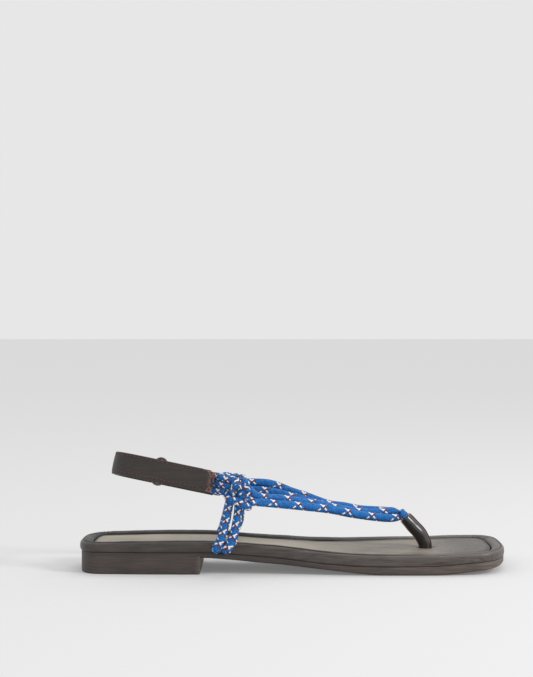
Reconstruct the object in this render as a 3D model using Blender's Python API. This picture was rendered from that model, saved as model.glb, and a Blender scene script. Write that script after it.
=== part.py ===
"""Rope thong sandal, right shoe: unit sole, wrapped footbed, insole panel, toe post, rope upper,
heel strap with its fastening tab, patch and ring. Metres, +Z up, +X to the toe, +Y to the inner
(medial) side. The origin is on the floor, under the middle of the heel."""

import bpy
import bmesh
from math import cos, pi, radians, sin, sqrt
from mathutils import Matrix, Vector

# Sole and footbed
SHOE_LENGTH = 0.250
BALL_WIDTH = 0.087
HEEL_LENGTH = 0.071
HEEL_RISE = 0.0093
TOE_SPRING = 0.0040
OUTSOLE_THICK = 0.0050
WRAP_THICK = 0.0067
LATERAL_TOE_CORNER = 0.0250
MEDIAL_TOE_CORNER = 0.0130
HEEL_CORNER = 0.0160
OUTSOLE_INSET = 0.0011
HEEL_INSET = 0.0014
RIM_WIDTH = 0.0076
RECESS_DEPTH = 0.0031
PANEL_THICK = 0.0013
CLEARANCE = 0.0003
SOLE_ROUNDING = 0.0011
PANEL_ROUNDING = 0.0006

# Ropes
CORD_DIAMETER = 0.0050
REAR_CORD_DIAMETER = 0.0043
KNOT_HEIGHT = 0.0480
ROPE_SIDES = 10
ROPE_STEP = 0.0050

# Toe post
POST_DIAMETER = 0.0076
POST_MOUTH_WIDTH = 0.0110
POST_WALL = 0.0010
POST_HEIGHT = 0.0165
POST_BORE_DEPTH = 0.0080

# Heel strap and its fastening
STRAP_WIDTH = 0.0130
STRAP_THICK = 0.0022
STRAP_LOOP_WIDTH = 0.0540
STRAP_BACK_CORNER = 0.0150
STRAP_PITCH = 11.7
STRAP_ROLL = -7.4
STRAP_CENTRE = (-0.300, -0.040, 1.154)
STRAP_BACK = 0.0295
STRAP_TIP = 0.0270
STRAP_MEDIAL_END = 0.0290
LAYER_THICK = 0.0011
PATCH_THICK = 0.0012
PATCH_LENGTH = 0.0300
PATCH_END = 0.0305
TAB_END = 0.0280
ROPE_POCKET = 0.0080
RING_WIRE = 0.0015
RING_LENGTH = 0.0080
RING_HEIGHT = 0.0165
RING_PLACE = -0.0030
RING_BEND = 0.0031

# Roundness of the plan's corners, the middles of its back and toe ends as shares of the ball width,
# and the numbers of sections round each end and along the sides.
CORNER_POWER = 3.0
BACK_MIDDLE = -0.012
TOE_MIDDLE = 0.240
END_STEPS = 9
SIDE_STEPS = 26

# Plan of the footbed: place along the shoe as a share of its length, then the outer (lateral) and
# inner (medial) edge as shares of the ball width, from the heel's centreline.
OUTLINE = (
    ("along", "lateral", "medial"),
    (0.000, 0.305, 0.282),
    (0.080, 0.317, 0.294),
    (0.180, 0.333, 0.299),
    (0.240, 0.337, 0.294),
    (0.320, 0.333, 0.269),
    (0.388, 0.329, 0.248),
    (0.452, 0.331, 0.262),
    (0.516, 0.343, 0.331),
    (0.568, 0.357, 0.409),
    (0.616, 0.368, 0.471),
    (0.668, 0.376, 0.522),
    (0.720, 0.379, 0.563),
    (0.772, 0.379, 0.598),
    (0.808, 0.378, 0.616),
    (0.848, 0.372, 0.620),
    (0.896, 0.359, 0.602),
    (0.948, 0.337, 0.553),
    (1.000, 0.310, 0.500),
)

# Side profile: shares of the heel's rise, the toe spring, the outsole's and the footbed's thickness.
PROFILE = (
    ("along", "rise", "spring", "outsole", "wrap"),
    (0.000, 1.00, 0.00, 0.64, 0.78),
    (0.060, 1.00, 0.00, 0.64, 0.83),
    (0.170, 1.00, 0.00, 0.64, 0.92),
    (0.290, 1.00, 0.00, 0.64, 0.96),
    (0.340, 0.92, 0.00, 0.68, 0.97),
    (0.420, 0.71, 0.00, 0.75, 0.99),
    (0.470, 0.60, 0.00, 0.74, 1.00),
    (0.512, 0.48, 0.00, 0.73, 1.00),
    (0.560, 0.34, 0.00, 0.70, 1.00),
    (0.600, 0.23, 0.00, 0.75, 1.00),
    (0.650, 0.09, 0.00, 0.87, 1.00),
    (0.700, 0.00, 0.00, 1.00, 1.00),
    (0.760, 0.00, 0.00, 1.01, 0.97),
    (0.820, 0.00, 0.00, 1.05, 0.91),
    (0.856, 0.00, 0.10, 1.08, 0.87),
    (0.900, 0.00, 0.38, 1.04, 0.83),
    (0.950, 0.00, 0.66, 0.95, 0.82),
    (1.000, 0.00, 1.00, 0.82, 0.80),
)

# Cross-section of the footbed's padded rim, from the joint up over the shoulder: inwards as a share
# of the rim's width, up as a share of the footbed's thickness.
RIM_SECTION = (
    ("inwards", "up"),
    (0.04, 0.180),
    (0.00, 0.420),
    (0.03, 0.700),
    (0.13, 0.880),
    (0.32, 0.975),
    (0.53, 1.000),
)

# The rim's inner side, down to the floor of the recess: down as a share of the recess's depth.
RIM_INSIDE = (
    ("inwards", "down"),
    (0.74, 0.10),
    (0.90, 0.32),
    (1.00, 0.62),
    (1.00, 1.00),
)

# Places on the rope's run: along the shoe from its middle as a share of its length, across from the
# heel's centreline as a share of the ball width (inner side positive), up as a share of the knot's
# height, and the cord's thickness as a share of its diameter.
POST_SPOT = (0.316, 0.144, 0.0, 1.0)
POST_AXIS = (
    ("up", "back", "width"),
    (0.00, 0.0000, 0.98),
    (0.20, 0.0006, 1.02),
    (0.45, 0.0036, 1.04),
    (0.72, 0.0079, 1.02),
    (1.00, 0.0122, 0.97),
)
LATERAL_KNOT = (-0.124, -0.356, 1.000)
MEDIAL_KNOT = (-0.135, 0.306, 0.927)

FRONT_CORDS = {
    "lateral_lower": (
        (-0.112, -0.385, 0.925, 1.0),
        (-0.098, -0.370, 0.886, 1.0),
        (-0.080, -0.322, 0.865, 1.0),
        (-0.040, -0.252, 0.831, 1.0),
        (0.032, -0.160, 0.775, 1.0),
        (0.087, -0.090, 0.727, 1.0),
        (0.133, -0.034, 0.669, 1.0),
        (0.174, 0.018, 0.625, 1.0),
        (0.222, 0.078, 0.586, 1.0),
        (0.236, 0.106, 0.586, 1.0),
        (0.243, 0.142, 0.594, 0.94),
    ),
    "lateral_upper": (
        (-0.130, -0.380, 0.940, 1.0),
        (-0.119, -0.412, 1.010, 1.0),
        (-0.105, -0.395, 1.020, 1.0),
        (-0.093, -0.345, 0.960, 1.0),
        (-0.078, -0.290, 0.917, 1.0),
        (-0.022, -0.195, 0.873, 1.0),
        (0.037, -0.100, 0.806, 1.0),
        (0.087, -0.030, 0.745, 1.0),
        (0.133, 0.026, 0.690, 1.0),
        (0.174, 0.074, 0.655, 1.0),
        (0.214, 0.108, 0.655, 1.0),
        (0.232, 0.125, 0.668, 1.0),
        (0.244, 0.152, 0.650, 0.94),
    ),
    "medial_upper": (
        (-0.128, 0.305, 0.975, 1.0),
        (-0.107, 0.299, 0.985, 1.0),
        (-0.062, 0.282, 0.980, 1.0),
        (-0.029, 0.274, 0.932, 1.0),
        (-0.004, 0.266, 0.880, 1.0),
        (0.032, 0.258, 0.820, 1.0),
        (0.085, 0.241, 0.725, 1.0),
        (0.121, 0.232, 0.700, 1.0),
        (0.162, 0.221, 0.662, 1.0),
        (0.205, 0.208, 0.638, 1.0),
        (0.230, 0.188, 0.622, 1.0),
        (0.243, 0.152, 0.604, 0.94),
    ),
    "medial_lower": (
        (-0.128, 0.290, 0.890, 1.0),
        (-0.107, 0.270, 0.902, 1.0),
        (-0.055, 0.240, 0.885, 1.0),
        (-0.007, 0.220, 0.830, 1.0),
        (0.040, 0.205, 0.765, 1.0),
        (0.090, 0.188, 0.700, 1.0),
        (0.160, 0.168, 0.640, 1.0),
        (0.215, 0.158, 0.612, 1.0),
        (0.242, 0.142, 0.606, 0.94),
    ),
}

# The loop out of the post's mouth, over the front cords: along, across and up in cord diameters
# from the middle of the mouth, and thickness.
POST_LOOP = (
    (0.95, -0.38, -1.05, 0.62),
    (0.42, -0.38, -0.46, 0.64),
    (0.04, -0.40, -0.04, 0.74),
    (-0.22, -0.52, 0.22, 0.88),
    (-0.38, -0.34, 0.40, 0.92),
    (-0.44, 0.00, 0.46, 0.92),
    (-0.38, 0.34, 0.40, 0.92),
    (-0.22, 0.52, 0.22, 0.88),
    (0.04, 0.40, -0.04, 0.74),
    (0.42, 0.38, -0.46, 0.64),
    (0.95, 0.38, -1.05, 0.62),
)

# Upright cords: along and up as above, how far the cord bows outwards in cord diameters; the last
# rows, after the seam is reached, are worked out from the footbed's edge.
UPRIGHTS = {
    "lateral_rear": (
        (-0.146, 0.960, 0.00),
        (-0.154, 0.698, 0.04),
        (-0.160, 0.560, 0.06),
        (-0.168, 0.435, 0.04),
    ),
    "lateral_front": (
        (-0.126, 0.960, 0.00),
        (-0.130, 0.731, 0.04),
        (-0.135, 0.548, 0.06),
        (-0.143, 0.385, 0.04),
    ),
    "medial_rear": (
        (-0.148, 0.880, 0.00),
        (-0.157, 0.700, 0.10),
        (-0.164, 0.550, 0.12),
        (-0.171, 0.420, 0.06),
    ),
    "medial_front": (
        (-0.130, 0.880, 0.00),
        (-0.129, 0.690, 0.16),
        (-0.128, 0.540, 0.18),
        (-0.140, 0.385, 0.06),
    ),
}
SEAM_SPOTS = {
    "lateral_rear": -0.181,
    "lateral_front": -0.157,
    "medial_rear": -0.181,
    "medial_front": -0.156,
}

# Strands of a side knot, in cord diameters from the knot's middle: forwards, outwards, up.
KNOT_STRANDS = (
    (
        (-1.30, -0.40, -0.20), (-1.36, 0.40, -0.60), (-0.80, 1.00, -0.88), (0.00, 1.12, -1.14),
        (0.70, 0.80, -1.56), (0.90, 0.10, -1.70), (0.40, -0.60, -1.40), (-0.40, -0.80, -1.00),
    ),
    (
        (-0.80, 0.30, -0.60), (-0.90, 0.90, 0.00), (-0.70, 1.00, 0.70), (-0.44, 0.80, 1.24),
        (0.04, 0.24, 1.50), (0.50, 0.00, 1.28), (0.76, -0.20, 0.60), (0.40, -0.40, -0.20),
    ),
    (
        (-0.14, 0.36, 0.86), (0.18, 0.90, 0.54), (-0.08, 1.06, -0.06), (-0.56, 0.66, -0.54),
    ),
)

# Rear cords, from between the tab's layers (or the strap's medial layers) to the knot: height in
# the strap as a share of its width, then the height in the knot in cord diameters.
REAR_CORDS = ((0.31, 1.30), (0.00, 0.55), (-0.31, -0.20))

COLOURS = {
    "outsole": ((0.080, 0.062, 0.056), 0.55, 0.0),
    "footbed_wrap": ((0.062, 0.053, 0.050), 0.45, 0.0),
    "insole_panel": ((0.075, 0.062, 0.055), 0.40, 0.0),
    "toe_post": ((0.040, 0.034, 0.033), 0.30, 0.0),
    "rope_upper": ((0.020, 0.120, 0.420), 0.65, 0.0),
    "heel_strap": ((0.055, 0.048, 0.045), 0.45, 0.0),
    "strap_tab": ((0.060, 0.048, 0.044), 0.50, 0.0),
    "hook_patch": ((0.150, 0.060, 0.050), 0.90, 0.0),
    "strap_ring": ((0.200, 0.195, 0.185), 0.35, 1.0),
}


def column(table, name, along):
    """A table's column at a place along the shoe, on a smooth curve through its rows."""
    head, rows = table[0], table[1:]
    col = head.index(name)
    along = min(max(along, rows[0][0]), rows[-1][0])
    i = max(k for k in range(len(rows) - 1) if rows[k][0] <= along)

    def slope(k):
        lo, hi = max(k - 1, 0), min(k + 1, len(rows) - 1)
        before = (rows[k][col] - rows[lo][col]) / max(rows[k][0] - rows[lo][0], 1e-9)
        after = (rows[hi][col] - rows[k][col]) / max(rows[hi][0] - rows[k][0], 1e-9)
        if lo == k or hi == k:
            return after if lo == k else before
        return 0.0 if before * after <= 0 else 2 * before * after / (before + after)

    a, b = rows[i], rows[i + 1]
    span = b[0] - a[0]
    t = (along - a[0]) / span
    return (
        a[col] * (1 + 2 * t) * (1 - t) ** 2
        + b[col] * t * t * (3 - 2 * t)
        + span * (slope(i) * t * (1 - t) ** 2 - slope(i + 1) * t * t * (1 - t))
    )


def share(x):
    """Place along the shoe, 0 at the back and 1 at the toe, of an X."""
    return (x + HEEL_LENGTH / 2) / SHOE_LENGTH


def station_x(along):
    return along * SHOE_LENGTH - HEEL_LENGTH / 2


def bottom(x):
    return HEEL_RISE * column(PROFILE, "rise", share(x)) + TOE_SPRING * column(PROFILE, "spring", share(x))


def seam(x):
    """Height of the joint between outsole and footbed."""
    return bottom(x) + OUTSOLE_THICK * column(PROFILE, "outsole", share(x))


def crest(x):
    """Height of the padded rim."""
    return seam(x) + WRAP_THICK * column(PROFILE, "wrap", share(x))


def corner(distance, length, power=CORNER_POWER):
    """How much of the width is left near an end: 1 outside the corner, 0 at the end itself."""
    if distance >= length:
        return 1.0
    return (1 - (1 - max(distance, 0.0) / length) ** power) ** (1 / power)


def edge_y(x, side):
    """Y of the footbed's edge: side -1 is the outer (lateral) edge, 1 the inner (medial)."""
    name, toe_corner = ("lateral", LATERAL_TOE_CORNER) if side < 0 else ("medial", MEDIAL_TOE_CORNER)
    y = side * column(OUTLINE, name, share(x)) * BALL_WIDTH
    to_back = x - station_x(0)
    to_toe = station_x(1) - x
    y = BACK_MIDDLE * BALL_WIDTH + (y - BACK_MIDDLE * BALL_WIDTH) * corner(to_back, HEEL_CORNER)
    return TOE_MIDDLE * BALL_WIDTH + (y - TOE_MIDDLE * BALL_WIDTH) * corner(to_toe, toe_corner)


def stations(last=None):
    """X of each section from the back to the toe, closer together round the corners; last cuts the
    list at an X, which becomes its end."""
    heel_end = station_x(0) + HEEL_CORNER
    toe_start = station_x(1) - LATERAL_TOE_CORNER
    steps = [sin(pi / 2 * k / END_STEPS) ** 2 for k in range(END_STEPS)]
    xs = [station_x(0) + HEEL_CORNER * (1 - (1 - f ** 2) ** (1 / CORNER_POWER)) for f in steps]
    xs += [heel_end + (toe_start - heel_end) * k / SIDE_STEPS for k in range(SIDE_STEPS)]
    xs += [station_x(1) - LATERAL_TOE_CORNER * (1 - (1 - f ** 2) ** (1 / CORNER_POWER)) for f in steps[::-1]]
    if last is None:
        return xs
    kept = [x for x in xs if x < last - 0.002]
    return kept + [last]


def outline(offset, xs):
    """Closed loop of plan points, the footbed's edge moved inwards by offset: lateral side from
    back to front, then the medial side back again. Both sides have a point for each station."""
    closed_toe = xs[-1] >= station_x(1) - 1e-9
    lateral = [Vector((x, edge_y(x, -1))) for x in xs]
    medial = [Vector((x, edge_y(x, 1))) for x in xs]
    loop = lateral + medial[-2 if closed_toe else -1:0:-1]
    count = len(loop)
    front = (len(lateral) - 1, len(lateral)) if not closed_toe else ()
    moved = []
    for i, point in enumerate(loop):
        before, after = loop[i - 1], loop[(i + 1) % count]
        if i in front:
            neighbour = before if i == front[0] else after
            run = (point - neighbour) if i == front[0] else (neighbour - point)
            normal = Vector((-run.y, run.x)).normalized()
            moved.append(Vector((point.x, point.y + offset / normal.y)))
            continue
        run = after - before
        normal = Vector((-run.y, run.x)).normalized()
        turn = (point - before).normalized().dot((after - point).normalized())
        moved.append(point + normal * offset / sqrt(max((1 + turn) / 2, 0.5)))
    return moved


def add_object(name, mesh):
    obj = bpy.data.objects.new(name, mesh)
    bpy.context.scene.collection.objects.link(obj)
    return obj


def finish_mesh(name, bm, smooth_angle=40.0):
    """Closes up a bmesh into an object whose faces point out."""
    bmesh.ops.remove_doubles(bm, verts=bm.verts, dist=1e-6)
    bmesh.ops.dissolve_degenerate(bm, edges=bm.edges, dist=1e-6)
    bmesh.ops.recalc_face_normals(bm, faces=bm.faces)
    mesh = bpy.data.meshes.new(name)
    bm.to_mesh(mesh)
    bm.free()
    if smooth_angle:
        mesh.shade_smooth()
        mesh.set_sharp_from_angle(angle=radians(smooth_angle))
    return add_object(name, mesh)


def slab(name, rings, xs):
    """Solid through closed rings of points, all with the outline's layout; the first and last are
    closed by strips from the lateral to the medial side."""
    bm = bmesh.new()
    loops = [[bm.verts.new(p) for p in ring] for ring in rings]
    count = len(loops[0])
    for low, high in zip(loops, loops[1:]):
        for i in range(count):
            j = (i + 1) % count
            bm.faces.new((low[i], low[j], high[j], high[i]))
    last = len(xs) - 1
    for ring in (loops[0], loops[-1]):
        medial = [ring[0]] + [ring[-k] for k in range(1, last)]
        medial.append(ring[last] if count == 2 * last else ring[last + 1])
        for k in range(last):
            corners = (ring[k], ring[k + 1], medial[k + 1], medial[k])
            used = [v for i, v in enumerate(corners) if v not in corners[:i]]
            bm.faces.new(used)
    return finish_mesh(name, bm)


def ring_at(offset, height, xs):
    """An outline ring whose height is a function of X."""
    return [Vector((p.x, p.y, height(p.x))) for p in outline(offset, xs)]


def tube(name, path, radii, sides=ROPE_SIDES):
    """Round bar along a smooth path, closed at both ends."""
    bm = bmesh.new()
    rings = []
    side = Vector((0, 1, 0))
    for i, point in enumerate(path):
        ahead = path[min(i + 1, len(path) - 1)] - path[max(i - 1, 0)]
        ahead.normalize()
        side = (side - ahead * side.dot(ahead)).normalized()
        up = ahead.cross(side)
        spokes = [2 * pi * k / sides for k in range(sides)]
        rings.append([bm.verts.new(point + (side * cos(a) + up * sin(a)) * radii[i]) for a in spokes])
    for low, high in zip(rings, rings[1:]):
        for k in range(sides):
            m = (k + 1) % sides
            bm.faces.new((low[k], low[m], high[m], high[k]))
    bm.faces.new(rings[0])
    bm.faces.new(rings[-1])
    return finish_mesh(name, bm)


def smooth_path(points, step=ROPE_STEP):
    """Points about a step apart on a smooth curve through the given (x, y, z, thickness) rows."""
    rows = [Vector(p) for p in points]
    path = []
    for i in range(len(rows) - 1):
        a, b = rows[i], rows[i + 1]
        before = rows[i - 1] if i else a * 2 - b
        after = rows[i + 2] if i + 2 < len(rows) else b * 2 - a
        count = max(1, round((b - a).xyz.length / step))
        for k in range(count):
            t = k / count
            path.append(
                (a * 2 + (b - before) * t + (before * 2 - a * 5 + b * 4 - after) * t * t
                 + (a * 3 - before - b * 3 + after) * t ** 3) / 2
            )
    path.append(rows[-1])
    return path


def cut(target, tool, operation, solver="EXACT"):
    """Boolean of one object with another, applied; the tool is then removed."""
    modifier = target.modifiers.new(operation.lower(), "BOOLEAN")
    modifier.operation = operation
    modifier.solver = solver
    modifier.object = tool
    bpy.context.view_layer.update()
    shape = target.evaluated_get(bpy.context.evaluated_depsgraph_get())
    mesh = bpy.data.meshes.new_from_object(shape)
    target.modifiers.remove(modifier)
    old = target.data
    target.data = mesh
    bpy.data.meshes.remove(old)
    mesh.name = target.name
    bpy.data.objects.remove(tool)


def clean(obj, sliver):
    """Merges the slivers that a Boolean leaves."""
    bm = bmesh.new()
    bm.from_mesh(obj.data)
    bmesh.ops.remove_doubles(bm, verts=bm.verts, dist=sliver)
    bmesh.ops.dissolve_degenerate(bm, edges=bm.edges, dist=sliver)
    bmesh.ops.triangulate(bm, faces=bm.faces)
    bm.to_mesh(obj.data)
    bm.free()
    obj.data.shade_smooth()
    obj.data.set_sharp_from_angle(angle=radians(40))


def paint(obj):
    colour, roughness, metallic = COLOURS[obj.name]
    material = bpy.data.materials.new(obj.name)
    material.use_nodes = True
    shader = material.node_tree.nodes["Principled BSDF"]
    shader.inputs["Base Color"].default_value = (*colour, 1.0)
    shader.inputs["Roughness"].default_value = roughness
    shader.inputs["Metallic"].default_value = metallic
    obj.data.materials.clear()
    obj.data.materials.append(material)


def make_outsole():
    """Outsole with a rounded lower edge, joined to the heel under it."""
    xs = stations()
    edge = SOLE_ROUNDING
    sole = slab("outsole", [
        ring_at(OUTSOLE_INSET + 2 * edge, bottom, xs),
        ring_at(OUTSOLE_INSET + 0.6 * edge, lambda x: bottom(x) + 0.4 * edge, xs),
        ring_at(OUTSOLE_INSET, lambda x: bottom(x) + 1.5 * edge, xs),
        ring_at(OUTSOLE_INSET, lambda x: seam(x) - edge, xs),
        ring_at(OUTSOLE_INSET + 0.3 * edge, lambda x: seam(x) - CLEARANCE / 2, xs),
    ], xs)
    heel_xs = stations(station_x(0) + HEEL_LENGTH)
    heel = slab("heel", [
        ring_at(HEEL_INSET + 0.4 * edge, lambda x: 0.0, heel_xs),
        ring_at(HEEL_INSET, lambda x: 0.4 * edge, heel_xs),
        ring_at(HEEL_INSET, lambda x: HEEL_RISE + 2.2 * edge, heel_xs),
    ], heel_xs)
    cut(sole, heel, "UNION")
    return sole


def panel_height(x):
    """Top of the insole panel, deeper below the rim towards the toe."""
    return crest(x) - RECESS_DEPTH + CLEARANCE + PANEL_THICK


def make_wrap():
    """Footbed: bulging side, padded rim rolled over the edge, and the recess for the panel."""
    xs = stations()
    rings = [ring_at(OUTSOLE_INSET, lambda x: seam(x) + CLEARANCE / 2, xs)]
    for inwards, part in RIM_SECTION[1:]:
        rings.append(ring_at(inwards * RIM_WIDTH, lambda x: seam(x) + (crest(x) - seam(x)) * part, xs))
    for inwards, drop in RIM_INSIDE[1:]:
        rings.append(ring_at(inwards * RIM_WIDTH, lambda x: crest(x) - RECESS_DEPTH * drop, xs))
    return slab("footbed_wrap", rings, xs)


def make_panel():
    """Insole panel in the recess, its edge rounded."""
    xs = stations()
    edge = RIM_WIDTH + CLEARANCE
    return slab("insole_panel", [
        ring_at(edge, lambda x: panel_height(x) - PANEL_THICK, xs),
        ring_at(edge, lambda x: panel_height(x) - 0.7 * PANEL_ROUNDING, xs),
        ring_at(edge + PANEL_ROUNDING, panel_height, xs),
    ], xs)


def place(spot):
    """A rope table's row as X, Y, Z and cord radius."""
    along, across, up, thick = spot
    return Vector((
        station_x(0.5) + along * SHOE_LENGTH,
        across * BALL_WIDTH,
        up * KNOT_HEIGHT,
        thick * CORD_DIAMETER / 2,
    ))


def post_axis(part):
    """Middle of the toe post: part 0 at the panel, 1 at the mouth."""
    foot = place(POST_SPOT)
    x = foot.x - column(POST_AXIS, "back", part)
    return Vector((x, foot.y, panel_height(foot.x) + part * POST_HEIGHT))


def post_half(part):
    """Half widths of the post, along and across."""
    thin = POST_DIAMETER / 2 * column(POST_AXIS, "width", part)
    wide = thin + (POST_MOUTH_WIDTH - POST_DIAMETER) / 2 * max(0.0, min(1.0, (part - 0.1) / 0.6))
    return thin, wide


def post_ring(part, wall, sides=16):
    ahead = (post_axis(min(part + 0.02, 1.02)) - post_axis(part - 0.02)).normalized()
    side = Vector((0, 1, 0))
    along = side.cross(ahead)
    thin, wide = (h - wall for h in post_half(part))
    spokes = [2 * pi * k / sides for k in range(sides)]
    return [post_axis(part) + along * cos(a) * thin + side * sin(a) * wide for a in spokes]


def make_post():
    """Leather sleeve: solid at its foot, with an open mouth for the rope loop."""
    foot_drop = (PANEL_THICK - CLEARANCE / 2) / POST_HEIGHT
    outer = [-foot_drop, 0.0, 0.15, 0.3, 0.45, 0.6, 0.75, 0.9, 0.985]
    bore = 1 - POST_BORE_DEPTH / POST_HEIGHT
    rings = [post_ring(p, 0.0) for p in outer] + [post_ring(1.0, 0.0002), post_ring(1.0, POST_WALL - 0.0002)]
    rings += [post_ring(p, POST_WALL) for p in (0.985, 0.75, bore)]
    bm = bmesh.new()
    loops = [[bm.verts.new(p) for p in ring] for ring in rings]
    for low, high in zip(loops, loops[1:]):
        for k in range(len(low)):
            m = (k + 1) % len(low)
            bm.faces.new((low[k], low[m], high[m], high[k]))
    bm.faces.new(loops[0])
    bm.faces.new(loops[-1])
    return finish_mesh("toe_post", bm)


def post_hole():
    """Cutter for the hole in the panel that the post's foot stands in."""
    foot = post_axis(0)
    bm = bmesh.new()
    radius = POST_DIAMETER / 2 + CLEARANCE
    bmesh.ops.create_cone(
        bm, cap_ends=True, segments=20, radius1=radius, radius2=radius, depth=4 * PANEL_THICK,
        matrix=Matrix.Translation(foot),
    )
    return finish_mesh("post_hole", bm)


def strap_frame():
    """Plane of the heel strap's loop: tilted up to the back and down to the inner side."""
    origin = place((*STRAP_CENTRE, 0)).xyz
    turn = Matrix.Rotation(radians(STRAP_PITCH), 4, "Y") @ Matrix.Rotation(radians(STRAP_ROLL), 4, "X")
    return Matrix.Translation(origin) @ turn


def upright_path(name):
    """A cord from its knot down the outside of the footbed and into the seam."""
    side = -1 if name.startswith("lateral") else 1
    knot = place((*(LATERAL_KNOT if side < 0 else MEDIAL_KNOT), 1.0))
    end_x = station_x(0.5) + SEAM_SPOTS[name] * SHOE_LENGTH
    clear = CORD_DIAMETER / 2 + CLEARANCE
    edge = edge_y(end_x, side)
    rows = []
    for along, up, bow in UPRIGHTS[name]:
        spot = place((along, 0.0, up, 1.0))
        spot.y = knot.y if up > 0.85 else edge + side * (clear + bow * CORD_DIAMETER)
        rows.append(spot)
    low = seam(end_x)
    rows.append(Vector((end_x + 0.0006, edge + side * (clear - 0.0001), low + 0.0030, CORD_DIAMETER / 2)))
    rows.append(Vector((end_x, edge + side * 0.0010, low + 0.0009, CORD_DIAMETER * 0.42)))
    rows.append(Vector((end_x - 0.0004, edge - side * 0.0030, low + 0.0004, CORD_DIAMETER * 0.30)))
    return rows


def knot_rows(centre, side, strand):
    """A knot strand's rows; side is -1 on the lateral side."""
    middle = place((*centre, 1.0))
    return [
        Vector((middle.x + f * CORD_DIAMETER, middle.y + side * o * CORD_DIAMETER,
                middle.z + u * CORD_DIAMETER, CORD_DIAMETER / 2))
        for f, o, u in strand
    ]


def tab_gap_y():
    """Local Y of the middle of the gap between the tab's two layers, where the rope ends lie."""
    strap_inner = -STRAP_LOOP_WIDTH / 2 + STRAP_THICK / 2
    return strap_inner + 2 * CLEARANCE + PATCH_THICK + LAYER_THICK + rope_gap() / 2


def strap_gap_y():
    """Local Y of the middle of the gap in the strap's doubled medial end."""
    return STRAP_LOOP_WIDTH / 2 + STRAP_THICK / 2 - LAYER_THICK - rope_gap() / 2


def rope_gap():
    """Room between the two layers that hold the flattened rope ends."""
    return REAR_CORD_DIAMETER * 0.70 + 2 * CLEARANCE


def rear_rows(side, height, knot_up):
    """A rear cord: out of the strap end's layers, then into the side knot."""
    frame = strap_frame()
    full, flat = REAR_CORD_DIAMETER / 2, REAR_CORD_DIAMETER * 0.35
    knot = place((*(LATERAL_KNOT if side < 0 else MEDIAL_KNOT), 1.0))
    end = TAB_END if side < 0 else STRAP_MEDIAL_END
    y = tab_gap_y() if side < 0 else strap_gap_y()
    rows = []
    inside = end - ROPE_POCKET + 2 * CLEARANCE
    ahead = PATCH_END - TAB_END + 2 * CLEARANCE
    for x, out, radius in ((inside, 0, flat), (end - 0.002, 0, flat), (end + ahead, CLEARANCE, 0.9 * full)):
        spot = Vector((x, y + side * out, height * STRAP_WIDTH))
        rows.append(Vector((*(frame @ spot), radius)))
    lift = knot_up * CORD_DIAMETER
    before_knot = Vector((-1.55, -side * 0.3, 0.12)) * CORD_DIAMETER
    rows.append(Vector((*(knot.xyz + before_knot + Vector((0, 0, lift))), full)))
    rows.append(Vector((knot.x, knot.y, knot.z + lift * 0.8, full)))
    return rows


def make_ropes():
    """All cords of both sides, fused where they cross."""
    runs = [("front", [place(p) for p in rows], 2 * ROPE_STEP) for rows in FRONT_CORDS.values()]
    runs += [("upright", upright_path(name), 1.2 * ROPE_STEP) for name in UPRIGHTS]
    for centre, side in ((LATERAL_KNOT, -1), (MEDIAL_KNOT, 1)):
        runs += [("knot", knot_rows(centre, side, strand), 0.6 * ROPE_STEP) for strand in KNOT_STRANDS]
        runs += [("rear", rear_rows(side, *row), 1.2 * ROPE_STEP) for row in REAR_CORDS]
    mouth = post_axis(1)
    loop = [
        Vector((mouth.x + a * CORD_DIAMETER, mouth.y + b * CORD_DIAMETER,
                mouth.z + c * CORD_DIAMETER, t * CORD_DIAMETER / 2))
        for a, b, c, t in POST_LOOP
    ]
    runs.append(("loop", loop, 0.6 * ROPE_STEP))
    ropes = None
    for name, rows, step in runs:
        path = smooth_path(rows, step)
        piece = tube(name, [p.xyz for p in path], [p.w for p in path])
        if ropes is None:
            ropes = piece
            ropes.name = "rope_upper"
        else:
            cut(ropes, piece, "UNION", "MANIFOLD")
    clean(ropes, 0.000001)
    return ropes


def seam_pocket(name):
    """Cutter for the pocket in the seam that an upright cord runs into."""
    rows = upright_path(name)[-4:]
    path = smooth_path(rows, 0.5 * ROPE_STEP)
    path.append(path[-1] + (path[-1] - path[-2]).normalized() * 2 * CLEARANCE)
    return tube("pocket", [p.xyz for p in path], [p.w + 1.3 * CLEARANCE for p in path], ROPE_SIDES + 2)


def ribbon(name, sections, frame):
    """Flat band set on edge along a path in a plane: each section is its point, its outward
    normal, how far it reaches outwards and inwards, and its half width."""
    bm = bmesh.new()
    rings = []
    for point, normal, outwards, inwards, half in sections:
        soft = min(0.0004, half / 3, (outwards + inwards) / 3)
        corners = [
            (outwards, half - soft), (outwards - soft, half), (-inwards + soft, half), (-inwards, half - soft),
            (-inwards, soft - half), (-inwards + soft, -half), (outwards - soft, -half), (outwards, soft - half),
        ]
        ring = []
        for reach, height in corners:
            flat = point + normal * reach
            ring.append(bm.verts.new(frame @ Vector((flat.x, flat.y, height))))
        rings.append(ring)
    for low, high in zip(rings, rings[1:]):
        for k in range(8):
            m = (k + 1) % 8
            bm.faces.new((low[k], low[m], high[m], high[k]))
    bm.faces.new(rings[0])
    bm.faces.new(rings[-1])
    return finish_mesh(name, bm, 30)


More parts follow.
